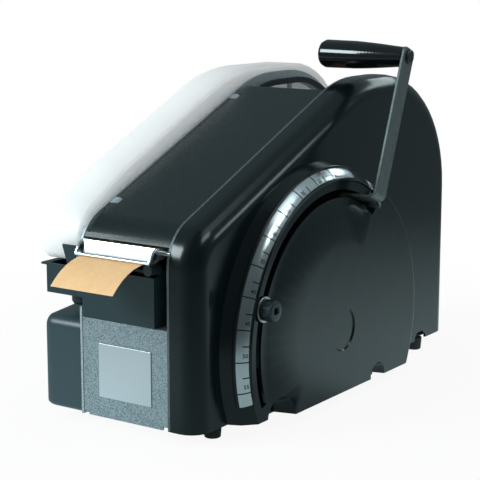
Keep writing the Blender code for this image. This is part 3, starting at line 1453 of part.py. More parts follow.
def water_tank(parent):
    """Tray whose left bay passes through the side plate to the well under the bottle."""
    bm = bmesh.new()
    prism_y(bm, tank_corners(0.0, TANK_RIM_Z), TANK_FRONT_Y, TANK_FRONT_Y + TANK_DEPTH - 0.002)
    tank = add("water_tank", bm, black_moulding(), parent)
    x, y, radius = WELL
    bm = bmesh.new()
    turned_z(bm, [(WELL_FLOOR_Z, radius - 0.002), (WELL_FLOOR_Z + 0.003, radius), (TANK_LEFT_FLOOR_Z + 0.001, radius)], (x, y), 20)
    join(tank, "tank_well", bm, parent)
    bm = bmesh.new()
    lip_z = TANK_RIM_Z - 0.0022
    box(bm, (TANK_LEFT_X - LIP_WIDTH, TANK_FRONT_Y + 0.0002, lip_z), (TANK_LEFT_X + 0.001, TANK_DEPTH - 0.003, TANK_RIM_Z - 0.0002))
    join(tank, "tank_lip", bm, parent)
    bm = bmesh.new()
    inner_y = (TANK_FRONT_Y + TANK_WALL, TANK_FRONT_Y + TANK_DEPTH - 0.002 - TANK_WALL)
    prism_y(bm, tank_corners(TANK_WALL, TANK_RIM_Z + 0.01), *inner_y)
    cut(tank, "tank_hollow", bm, parent)
    bm = bmesh.new()
    rod(bm, (x, y, WELL_FLOOR_Z + TANK_WALL), (x, y, TANK_LEFT_FLOOR_Z + 0.01), radius - TANK_WALL, 20)
    return cut(tank, "well_hollow", bm, parent)


def splash_guard(parent):
    """Small black fin that stands up from the tank's front rim below the bottle."""
    x0, x1, top = -0.0745, -0.0585, 0.1765
    rim = TANK_RIM_Z + GAP
    bm = bmesh.new()
    outline = [(x0 + 0.006, rim), (x0, top - 0.002), (x0, top), (x1, top), (x1, rim)]
    prism_y(bm, outline, 0.0006, 0.0022)
    guard = add("splash_guard", bm, black_moulding(), parent)
    return guard


BRUSH_SPAN = (-0.043, 0.029)
BRUSHES = {"front_brush": 0.0135, "rear_brush": 0.0288}
BRUSH_THICKNESS = 0.0085
HOLDER_Z = (0.1575, 0.1605)


def brushes(parent):
    for name, y in BRUSHES.items():
        x0, x1 = BRUSH_SPAN
        middle = y + BRUSH_THICKNESS / 2
        top = tape_z(y) - GAP
        bm = bmesh.new()
        low = PANEL_TOP_Z + GAP + TANK_WALL + 0.004
        outline = [
            (y + 0.0015, low),
            (y, HOLDER_Z[0] - 0.001),
            (y, top - 0.004),
            (middle - 0.0015, top),
            (middle + 0.0015, top),
            (y + BRUSH_THICKNESS, top - 0.004),
            (y + BRUSH_THICKNESS, HOLDER_Z[0] - 0.001),
            (y + BRUSH_THICKNESS - 0.0015, low),
        ]
        prism_x(bm, outline, x0, x1)
        add(name, bm, finish(name, (0.02, 0.02, 0.02), 0.9), parent)


def brush_holder(parent):
    """Frame across the tank's rim with a slot for each brush and a finger knob."""
    low, high = HOLDER_Z
    x0, x1 = BRUSH_SPAN
    bm = bmesh.new()
    box(bm, (-0.0495, 0.008, low), (TANK_RIGHT_X - 0.0005, 0.0445, high))
    holder = add("brush_holder", bm, black_moulding(), parent)
    bm = bmesh.new()
    for y in BRUSHES.values():
        box(bm, (x0 - GAP, y - GAP, low - 0.01), (x1 + GAP, y + BRUSH_THICKNESS + GAP, high + 0.01))
    cut(holder, "brush_slots", bm, parent)
    bm = bmesh.new()
    for x in (-0.0478, TANK_RIGHT_X - 0.0021):
        box(bm, (x, 0.009, TANK_RIM_Z + GAP), (x + 0.0015, 0.0435, low + 0.0005))
    join(holder, "holder_feet", bm, parent)
    bm = bmesh.new()
    x = TANK_RIGHT_X - 0.004
    rod(bm, (x, -0.004, 0.1635), (x, 0.0120, 0.1635), 0.0052, 16)
    return join(holder, "finger_knob", bm, parent)


# Left side


def shelf_corners():
    return [
        (0.0, SKIRT_Z, 0.006, 3),
        (0.0, SHELF_FRONT_TOP_Z, 0.012, 5),
        (0.0655, SHELF_FRONT_TOP_Z + 0.006, 0.004, 2),
        (0.0655, SHELF_REST_Z - GAP, 0.003, 2),
        (DEPTH, SHELF_REST_Z - GAP, 0.010, 3),
        (DEPTH, SKIRT_Z, 0.006, 3),
    ]


def bottle_shelf(parent):
    """Moulded housing outside the left plate, open towards it, that carries the bottle."""
    right = -PLATE_OUT - GAP
    edge = 0.010
    bm = bmesh.new()
    rings = [[(right, y, z) for y, z in rounded(shelf_corners())]]
    for step in range(4):
        angle = math.pi / 2 * step / 3
        x = SHELF_LEFT_X + edge * (1 - math.sin(angle))
        rings.append([(x, y, z) for y, z in rounded(shelf_corners(), edge * 0.35 * (1 - math.cos(angle)))])
    loft(bm, rings)
    shelf = add("bottle_shelf", bm, black_moulding(), parent)
    bm = bmesh.new()
    prism_x(bm, rounded(shelf_corners(), 0.003), SHELF_LEFT_X + 0.003, right + 0.01)
    return cut(shelf, "shelf_hollow", bm, parent)


def bottle_corners():
    return [
        (BOTTLE_FRONT_Y, SHELF_REST_Z + 0.0002, 0.008, 3),
        (BOTTLE_FRONT_Y, 0.2000, 0.044, 6),
        (0.075, 0.2415, 0.150, 3),
        (TOP_FRONT_Y - 0.0278, BOTTLE_TOP_Z, 0.205, 5),
        (DEPTH - 0.003, BOTTLE_TOP_Z - 0.002, 0.110, 10),
        (DEPTH - 0.003, SHELF_REST_Z + 0.0002, 0.010, 3),
    ]


def water_bottle(parent):
    right = -PLATE_OUT - 0.003
    steps = 5
    rings = []
    corners = bottle_corners()
    for step in range(3):
        angle = math.pi / 2 * step / 2
        inset = 0.004 * (1 - math.sin(angle))
        rings.append([(right - 0.004 * (1 - math.cos(angle)), y, z) for y, z in rounded(corners, inset)])
    for step in range(steps + 1):
        angle = math.pi / 2 * step / steps
        x = BOTTLE_LEFT_X + BOTTLE_EDGE * (1 - math.sin(angle))
        inset = BOTTLE_EDGE * (1 - math.cos(angle)) * 0.8
        rings.append([(x, y, z) for y, z in rounded(corners, inset)])
    bm = bmesh.new()
    loft(bm, rings)
    return add("water_bottle", bm, finish("milky_plastic", (0.82, 0.84, 0.85), 0.35, 0.0, 1.0), parent)


def bottle_cap(parent):
    x, y, _ = WELL
    bm = bmesh.new()
    top = SHELF_REST_Z + 0.0002 - GAP
    profile = [(0.1290, 0.0035), (0.1300, 0.0050), (0.1440, 0.0065), (0.1440, 0.0092), (top, 0.0092)]
    turned_z(bm, profile, (x, y), 20)
    return add("bottle_cap", bm, finish("cap_plastic", (0.02, 0.02, 0.02), 0.4), parent)


def return_spring(parent):
    """Torsion spring round the hub's boss, between the sector and the drive arm."""
    turns, wire = 2.0, 0.0011
    coil = HUB_RADIUS + wire + 0.0012
    steps = int(turns * 20)
    curve = bpy.data.curves.new("return_spring", "CURVE")
    curve.dimensions = "3D"
    curve.bevel_depth = wire
    curve.bevel_resolution = 1
    curve.use_fill_caps = True
    spline = curve.splines.new("POLY")
    spline.points.add(steps)
    low = SECTOR_X + GEAR_WIDTH + wire + GAP
    high = DRIVE_ARM_X - wire - GAP
    for i in range(steps + 1):
        share = i / steps
        y, z = polar(coil, 20 + 360 * turns * share)
        spline.points[i].co = (low + (high - low) * share, y, z, 1)
    obj = bpy.data.objects.new("return_spring", curve)
    obj.parent = parent
    curve.materials.append(steel())
    bpy.context.scene.collection.objects.link(obj)
    return obj


def build():
    clear_scene()
    machine = bpy.data.objects.new("machine", None)
    machine.location = (-CENTRE_X, -CENTRE_Y, 0)
    bpy.context.scene.collection.objects.link(machine)
    dial = (0.0, DIAL_Y, DIAL_Z)

    left_side_plate(machine)
    right_side_plate(machine)
    front_panel(machine)
    label_plate(machine)
    base_plate(machine)
    rear_panel(machine)
    tie_rods(machine)
    foot_bracket(machine)
    feet(machine)

    right_cover(machine)
    length_scale(machine)
    lever_arm(machine, dial)
    lever_grip(machine)
    grip_bolt(machine, dial)
    drive_arm(machine, dial)
    drive_gear(machine, dial)
    return_spring(machine)
    main_shaft(machine)
    stop_pieces(machine, dial)

    idler_shaft(machine)
    idler_gear(machine)
    feed_pinion(machine)
    feed_shaft(machine)
    feed_roller(machine)
    feed_bushes(machine)
    pressure_roller(machine)
    pressure_yoke(machine)
    yoke_rod(machine)

    tape_chute(machine)
    fixed_blade(machine)
    moving_blade(machine)
    blade_posts(machine)
    tape_roll(machine)
    roll_core(machine)
    support_rollers(machine)
    tape_strip(machine)

    water_tank(machine)
    splash_guard(machine)
    brush_holder(machine)
    brushes(machine)
    pressure_plate(machine)
    pressure_plate_rod(machine)
    lid(machine)
    lid_hinge_rod(machine)

    bottle_shelf(machine)
    water_bottle(machine)
    bottle_cap(machine)


build()
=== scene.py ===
import json
import math
import random

import bmesh
import bpy
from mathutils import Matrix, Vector


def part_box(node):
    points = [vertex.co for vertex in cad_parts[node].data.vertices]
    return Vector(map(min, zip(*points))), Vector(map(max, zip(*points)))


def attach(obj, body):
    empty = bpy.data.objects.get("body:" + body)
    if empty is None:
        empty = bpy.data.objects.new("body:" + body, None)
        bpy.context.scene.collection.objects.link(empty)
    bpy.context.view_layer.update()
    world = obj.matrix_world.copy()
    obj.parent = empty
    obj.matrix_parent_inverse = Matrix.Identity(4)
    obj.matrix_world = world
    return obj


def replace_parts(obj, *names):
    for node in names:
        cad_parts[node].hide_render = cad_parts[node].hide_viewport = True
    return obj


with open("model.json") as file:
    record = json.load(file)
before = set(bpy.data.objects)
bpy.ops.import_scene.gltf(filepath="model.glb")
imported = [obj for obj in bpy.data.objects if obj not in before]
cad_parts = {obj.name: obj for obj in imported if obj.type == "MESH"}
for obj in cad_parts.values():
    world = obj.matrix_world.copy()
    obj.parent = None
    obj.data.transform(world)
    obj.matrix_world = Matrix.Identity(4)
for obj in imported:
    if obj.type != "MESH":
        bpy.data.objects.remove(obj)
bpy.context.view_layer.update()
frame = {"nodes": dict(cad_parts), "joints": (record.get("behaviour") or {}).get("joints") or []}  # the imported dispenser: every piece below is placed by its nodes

nodes = frame["nodes"]
joints = {joint["name"]: joint for joint in frame["joints"]}
middle = Vector((0.016, 0.219, 0.0))  # the frame's origin, from halfway between the side plates at their front edges
dial = Vector(joints["lever_swing"]["pos_m"])  # on the lever's axis
random.seed(12)
print("frame loaded,", len(nodes), "nodes")


def linear(hexColour):  # sRGB hex to linear RGBA
    channels = [int(hexColour[i:i + 2], 16) / 255 for i in (1, 3, 5)]
    return (*[c / 12.92 if c <= 0.04045 else ((c + 0.055) / 1.055) ** 2.4 for c in channels], 1.0)


def addNode(tree, kind, settings=None, inputs=None):  # an input is a value or the socket that feeds it
    node = tree.nodes.new(kind)
    for name, value in (settings or {}).items():
        setattr(node, name, value)
    for name, value in (inputs or {}).items():
        if isinstance(value, bpy.types.NodeSocket):
            tree.links.new(value, node.inputs[name])
        else:
            node.inputs[name].default_value = value
    return node


def newFinish(name, colour, roughness, metallic=0.0, ior=None, more=None):  # even values on the shader's own sockets
    material = bpy.data.materials.new(name)
    material.use_nodes = True
    shader = material.node_tree.nodes["Principled BSDF"]
    values = {"Base Color": linear(colour), "Roughness": roughness, "Metallic": metallic, **(more or {})}
    if ior:
        values["IOR"] = ior
    for label, value in values.items():
        shader.inputs[label].default_value = value
    return material, material.node_tree, shader


def objectPoint(tree):  # place on the piece at rest, in metres
    return addNode(tree, "ShaderNodeTexCoord").outputs["Object"]


def perMm(size):  # texture scale whose features are about so many millimetres across
    return 1000 / size


def ramp(tree, value, stops):
    made = addNode(tree, "ShaderNodeValToRGB", {}, {"Fac": value})
    for element, (position, colour) in zip(made.color_ramp.elements, stops):
        element.position = position
        element.color = linear(colour)
    return made.outputs["Color"]


def setBump(tree, shader, height, depth, strength=1.0):  # depth in millimetres
    bump = addNode(tree, "ShaderNodeBump", {}, {"Height": height, "Distance": depth / 1000, "Strength": strength})
    tree.links.new(bump.outputs["Normal"], shader.inputs["Normal"])


# Finishes

hammerLook = {"dark": "#6E7E84", "pale": "#A9BAC1", "cell": 1.3, "grain": 0.7, "roughness": 0.42, "metallic": 0.35}
# Paler copy of the same enamel: painted light, for the left plate's brightly lit front edge.
paintedLightHammerLook = {**hammerLook, "dark": "#8B9BA2", "pale": "#C2D0D6"}
# Darker copy of the same enamel: painted shade, for the lever arm and the right plate's top edge, which stand in shade.
paintedShadeHammerLook = {**hammerLook, "dark": "#465153", "pale": "#6F7C7F"}


def hammertone(name, look):
    # Aluminium flake enamel draws up into pebbles as it bakes: a fine light and dark speckle with a soft sparkle.
    # The real pebbles are under 1 mm; they are drawn at 1.3 mm so that they show.
    material, tree, shader = newFinish(name, look["dark"], look["roughness"], look["metallic"])
    point = objectPoint(tree)
    pebbles = addNode(tree, "ShaderNodeTexVoronoi", {"feature": "F1"}, {"Vector": point, "Scale": perMm(look["cell"])})
    flakes = addNode(tree, "ShaderNodeTexNoise", {}, {"Vector": point, "Scale": perMm(look["grain"]), "Detail": 2.0})
    speck = addNode(tree, "ShaderNodeMath", {"operation": "MULTIPLY_ADD"}, {0: flakes.outputs["Fac"], 1: 1.5, 2: -0.5})
    total = addNode(tree, "ShaderNodeMath", {"operation": "ADD"}, {0: speck.outputs[0], 1: pebbles.outputs["Distance"]})
    colour = ramp(tree, total.outputs[0], ((0.3, look["pale"]), (1.05, look["dark"])))
    tree.links.new(colour, shader.inputs["Base Color"])
    setBump(tree, shader, total.outputs[0], 0.35, 0.35)
    return material


def mouldedPlastic(name, colour, roughness, ripple=20.0, depth=0.25):
    # Injection moulded ABS: even colour, a gloss that faint flow waves and very fine grain keep from being a mirror.
    material, tree, shader = newFinish(name, colour, roughness, 0.0, 1.46)
    point = objectPoint(tree)
    waves = addNode(tree, "ShaderNodeTexNoise", {}, {"Vector": point, "Scale": perMm(ripple), "Detail": 1.0})
    grain = addNode(tree, "ShaderNodeTexNoise", {}, {"Vector": point, "Scale": perMm(1.1), "Detail": 2.0})
    height = addNode(tree, "ShaderNodeMath", {"operation": "MULTIPLY_ADD"},
                     {0: grain.outputs["Fac"], 1: 0.06, 2: waves.outputs["Fac"]})
    gloss = addNode(tree, "ShaderNodeMapRange", {},
                    {"Value": grain.outputs["Fac"], "To Min": roughness * 0.85, "To Max": roughness * 1.15})
    tree.links.new(gloss.outputs[0], shader.inputs["Roughness"])
    setBump(tree, shader, height.outputs[0], depth, 0.5)
    return material


def turnedPhenolic():
    # Turned and buffed phenolic resin: deep black under a hard clear gloss, with the faintest rings from the lathe.
    material, tree, shader = newFinish("turnedPhenolic", "#070A0B", 0.1, 0.0, 1.6)
    rings = addNode(tree, "ShaderNodeTexWave", {"bands_direction": "X"},
                    {"Vector": objectPoint(tree), "Scale": perMm(12.0), "Distortion": 0.6})
    setBump(tree, shader, rings.outputs["Fac"], 0.02, 0.5)
    return material


def drawnMetal(name, colour, roughness, lay=(20.0, 0.7, 0.7), depth=0.02):
    # Sheet or bar with the fine lines of rolling, grinding or turning; lay is their size in mm along X, Y and Z.
    material, tree, shader = newFinish(name, colour, roughness, 1.0)
    grain = addNode(tree, "ShaderNodeMapping", {},
                    {"Vector": objectPoint(tree), "Scale": [perMm(size) for size in lay]})
    lines = addNode(tree, "ShaderNodeTexNoise", {}, {"Vector": grain.outputs["Vector"], "Scale": 1.0, "Detail": 3.0})
    gloss = addNode(tree, "ShaderNodeMapRange", {},
                    {"Value": lines.outputs["Fac"], "To Min": roughness * 0.7, "To Max": roughness * 1.35})
    tree.links.new(gloss.outputs[0], shader.inputs["Roughness"])
    setBump(tree, shader, lines.outputs["Fac"], depth, 0.6)
    return material


def mouldedRubber():
    # Moulded black rubber: matt, with a little dust held in its grain.
    material, tree, shader = newFinish("mouldedRubber", "#121415", 0.7)
    dust = addNode(tree, "ShaderNodeTexNoise", {}, {"Vector": objectPoint(tree), "Scale": perMm(2.5), "Detail": 3.0})
    colour = ramp(tree, dust.outputs["Fac"], ((0.3, "#0D0F10"), (0.8, "#222527")))
    tree.links.new(colour, shader.inputs["Base Color"])
    setBump(tree, shader, dust.outputs["Fac"], 0.2, 0.4)
    return material


def kraftPaper(name, pale, dark, fibre=(1.2, 5.0, 1.2)):
    # Unbleached kraft: warm tan, cloudy, with short fibres lying along the web. Fibre sizes in mm.
    material, tree, shader = newFinish(name, pale, 0.6)
    point = objectPoint(tree)
    lay = addNode(tree, "ShaderNodeMapping", {}, {"Vector": point, "Scale": [perMm(size) for size in fibre]})
    fibres = addNode(tree, "ShaderNodeTexNoise", {},
                     {"Vector": lay.outputs["Vector"], "Scale": 1.0, "Detail": 4.0, "Roughness": 0.65})
    clouds = addNode(tree, "ShaderNodeTexNoise", {}, {"Vector": point, "Scale": perMm(16.0), "Detail": 2.0})
    both = addNode(tree, "ShaderNodeMath", {"operation": "MULTIPLY_ADD"},
                   {0: clouds.outputs["Fac"], 1: 0.6, 2: fibres.outputs["Fac"]})
    tree.links.new(ramp(tree, both.outputs[0], ((0.5, dark), (1.05, pale))), shader.inputs["Base Color"])
    setBump(tree, shader, fibres.outputs["Fac"], 0.1, 0.4)
    return material


def woundKraft(centre):
    # Side of a wound roll: hundreds of paper edges, seen as fine rings of slightly different tan.
    # The paper is 0.15 mm; the rings are drawn at 0.8 mm so that they show.
    material, tree, shader = newFinish("woundKraft", "#D9AE7C", 0.7)
    off = addNode(tree, "ShaderNodeVectorMath", {"operation": "SUBTRACT"}, {0: objectPoint(tree), 1: centre})
    flat = addNode(tree, "ShaderNodeVectorMath", {"operation": "MULTIPLY"}, {0: off.outputs[0], 1: (0, 1, 1)})
    radius = addNode(tree, "ShaderNodeVectorMath", {"operation": "LENGTH"}, {0: flat.outputs[0]})
    wraps = addNode(tree, "ShaderNodeTexNoise", {"noise_dimensions": "1D"},
                    {"W": radius.outputs["Value"], "Scale": perMm(0.8), "Detail": 2.0})
    colour = ramp(tree, wraps.outputs["Fac"], ((0.3, "#B78A58"), (0.75, "#E3BB8A")))
    tree.links.new(colour, shader.inputs["Base Color"])
    setBump(tree, shader, wraps.outputs["Fac"], 0.15, 0.5)
    return material


def milkyPolyethylene():
    # Blow moulded polyethylene: waxy white that takes light in and scatters it, with walls that are never quite flat.
    scatter = {"Subsurface Weight": 1.0, "Subsurface Scale": 0.045, "Subsurface Radius": (1.0, 1.0, 1.0)}
    material, tree, shader = newFinish("milkyPolyethylene", "#FAF8FB", 0.4, 0.0, 1.5, scatter)
    waves = addNode(tree, "ShaderNodeTexNoise", {}, {"Vector": objectPoint(tree), "Scale": perMm(45.0), "Detail": 1.0})
    setBump(tree, shader, waves.outputs["Fac"], 0.8, 0.4)
    return material


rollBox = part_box("tape_roll")
finishes = {
    "hammered": hammertone("hammertoneEnamel", hammerLook),
    "hammeredPaintedLight": hammertone("hammertonePaintedLight", paintedLightHammerLook),
    "hammeredPaintedShade": hammertone("hammertonePaintedShade", paintedShadeHammerLook),
    "coverBlack": mouldedPlastic("glossBlackAbs", "#081315", 0.2),
    "lidBlack": mouldedPlastic("satinBlackAbs", "#101C1E", 0.28),
    "tankBlack": mouldedPlastic("tankBlackAbs", "#22353A", 0.4),
    "shelfBlack": mouldedPlastic("housingBlackAbs", "#2E4147", 0.32),
    "phenolic": turnedPhenolic(),
    "zincSteel": drawnMetal("zincPlatedSteel", "#C4C8C8", 0.34),
    # Matt black on the foot bracket and stop block is painted shade: it makes the slot and the foot notches read as
    # dark hollows.
    "paintedShadeBlack": mouldedPlastic("paintedShadeMatt", "#060809", 0.55),
    "blackSteel": drawnMetal("blackenedSteel", "#4A5255", 0.4),
    "cutSteel": drawnMetal("groundSteel", "#DADCDD", 0.24, (0.5, 15.0, 0.5)),
    "bronze": drawnMetal("sinteredBronze", "#B98A4E", 0.45, (1.0, 1.0, 1.0)),
    "chrome": drawnMetal("satinChrome", "#F4F6F7", 0.24, (25.0, 1.0, 1.0)),
    "strip": drawnMetal("polishedStrip", "#E6ECEF", 0.2, (1.0, 4.0, 4.0)),
    "label": drawnMetal("brushedAluminium", "#DCDDE2", 0.42, (12.0, 0.6, 0.6)),
    "rubber": mouldedRubber(),
    "bristle": mouldedPlastic("nylonBristle", "#101213", 0.5),
    "kraft": kraftPaper("kraftPaper", "#F6CC98", "#E7B984"),
    "wound": woundKraft((rollBox[0] + rollBox[1]) / 2),
    "board": kraftPaper("greyBoard", "#8C8377", "#6E675E"),
    "bottle": milkyPolyethylene(),
    "cap": mouldedPlastic("capPolypropylene", "#17191A", 0.4),
    "ink": mouldedPlastic("screenInk", "#0B0D0F", 0.5),
}
print("finishes ready:", len(finishes))


# CAD nodes: their finish, round shading and broken edges

sharpAngle = math.radians(32)  # faces that meet at more than this make a true edge
coincident = 0.00001  # points nearer than this are one


def facetJoiner():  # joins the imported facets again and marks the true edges, so that round faces shade as round
    group = bpy.data.node_groups.new("joinFacets", "GeometryNodeTree")
    for side in ("INPUT", "OUTPUT"):
        group.interface.new_socket("Geometry", in_out=side, socket_type="NodeSocketGeometry")
    start = addNode(group, "NodeGroupInput")
    merged = addNode(group, "GeometryNodeMergeByDistance", {}, {"Geometry": start.outputs[0], "Distance": coincident})
    plain = addNode(group, "GeometryNodeRemoveAttribute", {}, {"Geometry": merged.outputs[0], "Name": "custom_normal"})
    smooth = addNode(group, "GeometryNodeSetShadeSmooth", {"domain": "FACE"},
                     {"Geometry": plain.outputs[0], "Shade Smooth": True})
    angle = addNode(group, "GeometryNodeInputMeshEdgeAngle")
    sharp = addNode(group, "FunctionNodeCompare", {"operation": "GREATER_THAN"}, {0: angle.outputs[0], 1: sharpAngle})
    edged = addNode(group, "GeometryNodeSetShadeSmooth", {"domain": "EDGE"},
                    {"Geometry": smooth.outputs[0], "Selection": sharp.outputs[0], "Shade Smooth": False})
    addNode(group, "NodeGroupOutput", {}, {0: edged.outputs[0]})
    return group


joinFacets = facetJoiner()
nodeFinishes = {
    "hammered": "front_panel rear_panel",
    # The left plate's paler enamel is painted light on its lit front edge.
    "hammeredPaintedLight": "left_side_plate",
    # The lever arm and right plate get the darker enamel as painted shade.
    "hammeredPaintedShade": "lever_arm right_side_plate",
    "lidBlack": "lid",
    "tankBlack": "water_tank splash_guard brush_holder",
    "shelfBlack": "bottle_shelf",
    "zincSteel": "base_plate tie_rod_top tie_rod_rear main_shaft idler_shaft feed_shaft pressure_roller"
                 " pressure_yoke yoke_rod tape_chute blade_post_left blade_post_right roll_support_front"
                 " roll_support_rear pressure_plate_rod lid_hinge_rod return_spring stop_washer",
    "cutSteel": "fixed_blade moving_blade",
    "blackSteel": "grip_bolt drive_arm drive_gear idler_gear feed_pinion stop_stud",
    # Painted shade: the parts seen inside the slot and the foot notches are made black.
    "paintedShadeBlack": "foot_bracket stop_block",
    "rubber": "foot_right_front foot_right_front_inner foot_right_rear_inner foot_right_rear foot_left_front"
              " foot_left_rear feed_roller",
    "phenolic": "lever_grip",
    "bronze": "feed_bush_left feed_bush_right",
    "kraft": "tape_strip",
    "wound": "tape_roll",
    "board": "roll_core",
    "bottle": "water_bottle",
    "cap": "bottle_cap",
    "label": "label_plate",
}
brokenEdges = {  # in mm, 0.3 where a node isn't named
    "lid": 0.5, "water_bottle": 0, "tape_strip": 0, "return_spring": 0, "bottle_shelf": 0.6,
    "lever_arm": 0.5, "lever_grip": 0.2, "drive_gear": 0.1, "idler_gear": 0.1, "feed_pinion": 0.1, "stop_washer": 0.5,
}


def dressWith(obj, edge):
    obj.modifiers.new("joinFacets", "NODES").node_group = joinFacets
    flat = obj.modifiers.new("flatFaces", "DECIMATE")
    flat.decimate_type = "DISSOLVE"
    flat.angle_limit = math.radians(0.2)
    if edge:
        bevel = obj.modifiers.new("brokenEdge", "BEVEL")
        bevel.width = edge / 1000
        bevel.segments = 3
        bevel.limit_method = "ANGLE"
        bevel.angle_limit = sharpAngle
    obj.modifiers.new("flatShading", "WEIGHTED_NORMAL").keep_sharp = True


def dress(name, finish, edge):
    for slot in nodes[name].material_slots:
        slot.material = finishes[finish]
    dressWith(nodes[name], edge)


for finish, names in nodeFinishes.items():
    for name in names.split():
        dress(name, finish, brokenEdges.get(name, 0.3))
print("nodes dressed")


# Modelled detail

def addPiece(name, bm, finish, body, angle=35):
    mesh = bpy.data.meshes.new(name)
    bmesh.ops.recalc_face_normals(bm, faces=bm.faces)
    for face in bm.faces:
        face.smooth = True
    bm.to_mesh(mesh)
    bm.free()
    mesh.set_sharp_from_angle(angle=math.radians(angle))
    mesh.materials.append(finishes[finish])
    obj = bpy.data.objects.new(name, mesh)
    bpy.context.scene.collection.objects.link(obj)
    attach(obj, body)
    return obj


def addRings(bm, rings, closed=False, capped=True):  # skins rings of points; closed joins the last ring to the first
    made = [[bm.verts.new(point) for point in ring] for ring in rings]
    pairs = list(zip(made, made[1:])) + ([(made[-1], made[0])] if closed else [])
    for before, after in pairs:
        for i in range(len(before)):
            j = (i + 1) % len(before)
            bm.faces.new((before[i], before[j], after[j], after[i]))
    if capped and not closed:
        bm.faces.new(made[0][::-1])
        bm.faces.new(made[-1])


def circle(count):  # cosines and sines round a full turn
    return [(math.cos(math.tau * k / count), math.sin(math.tau * k / count)) for k in range(count)]


def aroundDial(x, radius, degrees):  # 0 degrees is forward and 90 up
    angle = math.radians(degrees)
    return Vector((x, dial.y - radius * math.cos(angle), dial.z + radius * math.sin(angle)))


def dialPlace(point):  # x, radius and degrees of a point about the dial
    away, up = dial.y - point.y, point.z - dial.z
    return point.x, math.hypot(away, up), math.degrees(math.atan2(up, away))


scaleLook = {
    "bulge": 0.0009, "steps": 150, "across": 8, "thick": 0.0008,
    "restAngle": 111.3, "pitch": 11.19, "firstMark": 2, "lastMark": 11, "unitsPerMark": 5,  # lines of length fed
    "lineWidth": 0.0011, "minorReach": 0.48, "lift": 0.00012,
    "figureHeight": 0.0062, "figureShare": 0.72, "figureSqueeze": 0.62,
    "lipRadius": 0.0016, "lipGap": 0.0001,
}


def stripEdges():  # the strip's outer and inner edge as (x, radius), and its two ends in degrees
    places = [dialPlace(v.co) for v in nodes["length_scale"].data.vertices]
    outer = max(places, key=lambda place: place[1])
    inner = max(places, key=lambda place: place[0])
    ends = [place[2] for place in places]
    return Vector(outer[:2]), Vector(inner[:2]), min(ends), max(ends)


stripOuter, stripInner, stripLow, stripHigh = stripEdges()


def onStrip(share, degrees, lift=0.0):  # on the strip's domed face; share runs from its outer to its inner edge
    across = stripInner - stripOuter
    normal = Vector((-across.y, across.x)).normalized()
    height = scaleLook["bulge"] * (1 - (2 * share - 1) ** 2) + lift
    x, radius = stripOuter + across * share + normal * height
    return aroundDial(x, radius, degrees)


def scaleStrip(look):  # domed strip in place of the flat one
    bm = bmesh.new()
    rings = []
    for i in range(look["steps"] + 1):
        degrees = stripLow + (stripHigh - stripLow) * i / look["steps"]
        top = [onStrip(j / look["across"], degrees) for j in range(look["across"] + 1)]
        rings.append([*top, onStrip(1.0, degrees, -look["thick"]), onStrip(0.0, degrees, -look["thick"])])
    addRings(bm, rings)
    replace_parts(addPiece("scaleStrip", bm, "strip", "frame", 50), "length_scale")


def addMark(bm, degrees, start, look):  # line from a share of the strip's width to the inner edge
    half = math.degrees(look["lineWidth"] / 2 / stripInner.y)
    rings = []
    for i in range(7):
        share = start + (0.99 - start) * i / 6
        rings.append([onStrip(share, degrees + side * half, lift) for side, lift in
                      ((-1, 0), (-1, look["lift"]), (1, look["lift"]), (1, 0))])
    addRings(bm, rings)


def addFigure(bm, text, degrees, look):  # number beside its line, bent onto the strip
    curve = bpy.data.curves.new("figure", "FONT")
    curve.body = text
    curve.size = look["figureHeight"] / 0.7  # capitals are 0.7 of the size
    curve.align_x, curve.align_y = "CENTER", "CENTER"
    curve.resolution_u = 2
    curve.offset = 0.00012  # bold enough to print
    written = bpy.data.objects.new("figure", curve)
    mesh = written.to_mesh()
    width = (stripInner - stripOuter).length
    verts = []
    for vertex in mesh.vertices:
        share = look["figureShare"] + vertex.co.x / width * look["figureSqueeze"]
        angle = degrees + math.degrees(vertex.co.y * look["figureSqueeze"] / stripInner.y)
        verts.append(bm.verts.new(onStrip(min(share, 0.99), angle, look["lift"])))
    for polygon in mesh.polygons:
        bm.faces.new([verts[i] for i in polygon.vertices])
    written.to_mesh_clear()
    bpy.data.objects.remove(written)
    bpy.data.curves.remove(curve)


def scalePrint(look):
    bm = bmesh.new()
    for mark in range(look["firstMark"], look["lastMark"] + 1):
        degrees = look["restAngle"] - look["pitch"] * mark
        addMark(bm, degrees, 0.01, look)
        addFigure(bm, str(look["unitsPerMark"] * mark), degrees + look["pitch"] * 0.2, look)
        if mark < look["lastMark"]:
            addMark(bm, degrees - look["pitch"] / 2, look["minorReach"], look)
    addPiece("scalePrint", bm, "ink", "frame")


def scaleLips(look):  # bead on each side of the strip, moulded with the cover
    across = (stripInner - stripOuter).normalized()
    bm = bmesh.new()
    for edge, side in ((stripOuter, -1), (stripInner, 1)):
        x, radius = edge + across * side * (look["lipGap"] + look["lipRadius"])
        rings = []
        for i in range(look["steps"] + 1):
            degrees = stripLow - 1.2 + (stripHigh - stripLow + 5.0) * i / look["steps"]
            size = look["lipRadius"] * min(1.0, 0.3 + i / 8, 0.3 + (look["steps"] - i) / 8)
            rings.append([aroundDial(x - 0.0002 + size * c, radius + size * s, degrees) for c, s in circle(10)])
        addRings(bm, rings)
    addPiece("scaleLips", bm, "coverBlack", "frame", 60)


knobLook = {"ridges": 30, "depth": 0.0005, "chamfer": 0.0011, "socket": 0.0034, "socketDepth": 0.0045, "bore": 0.0040}


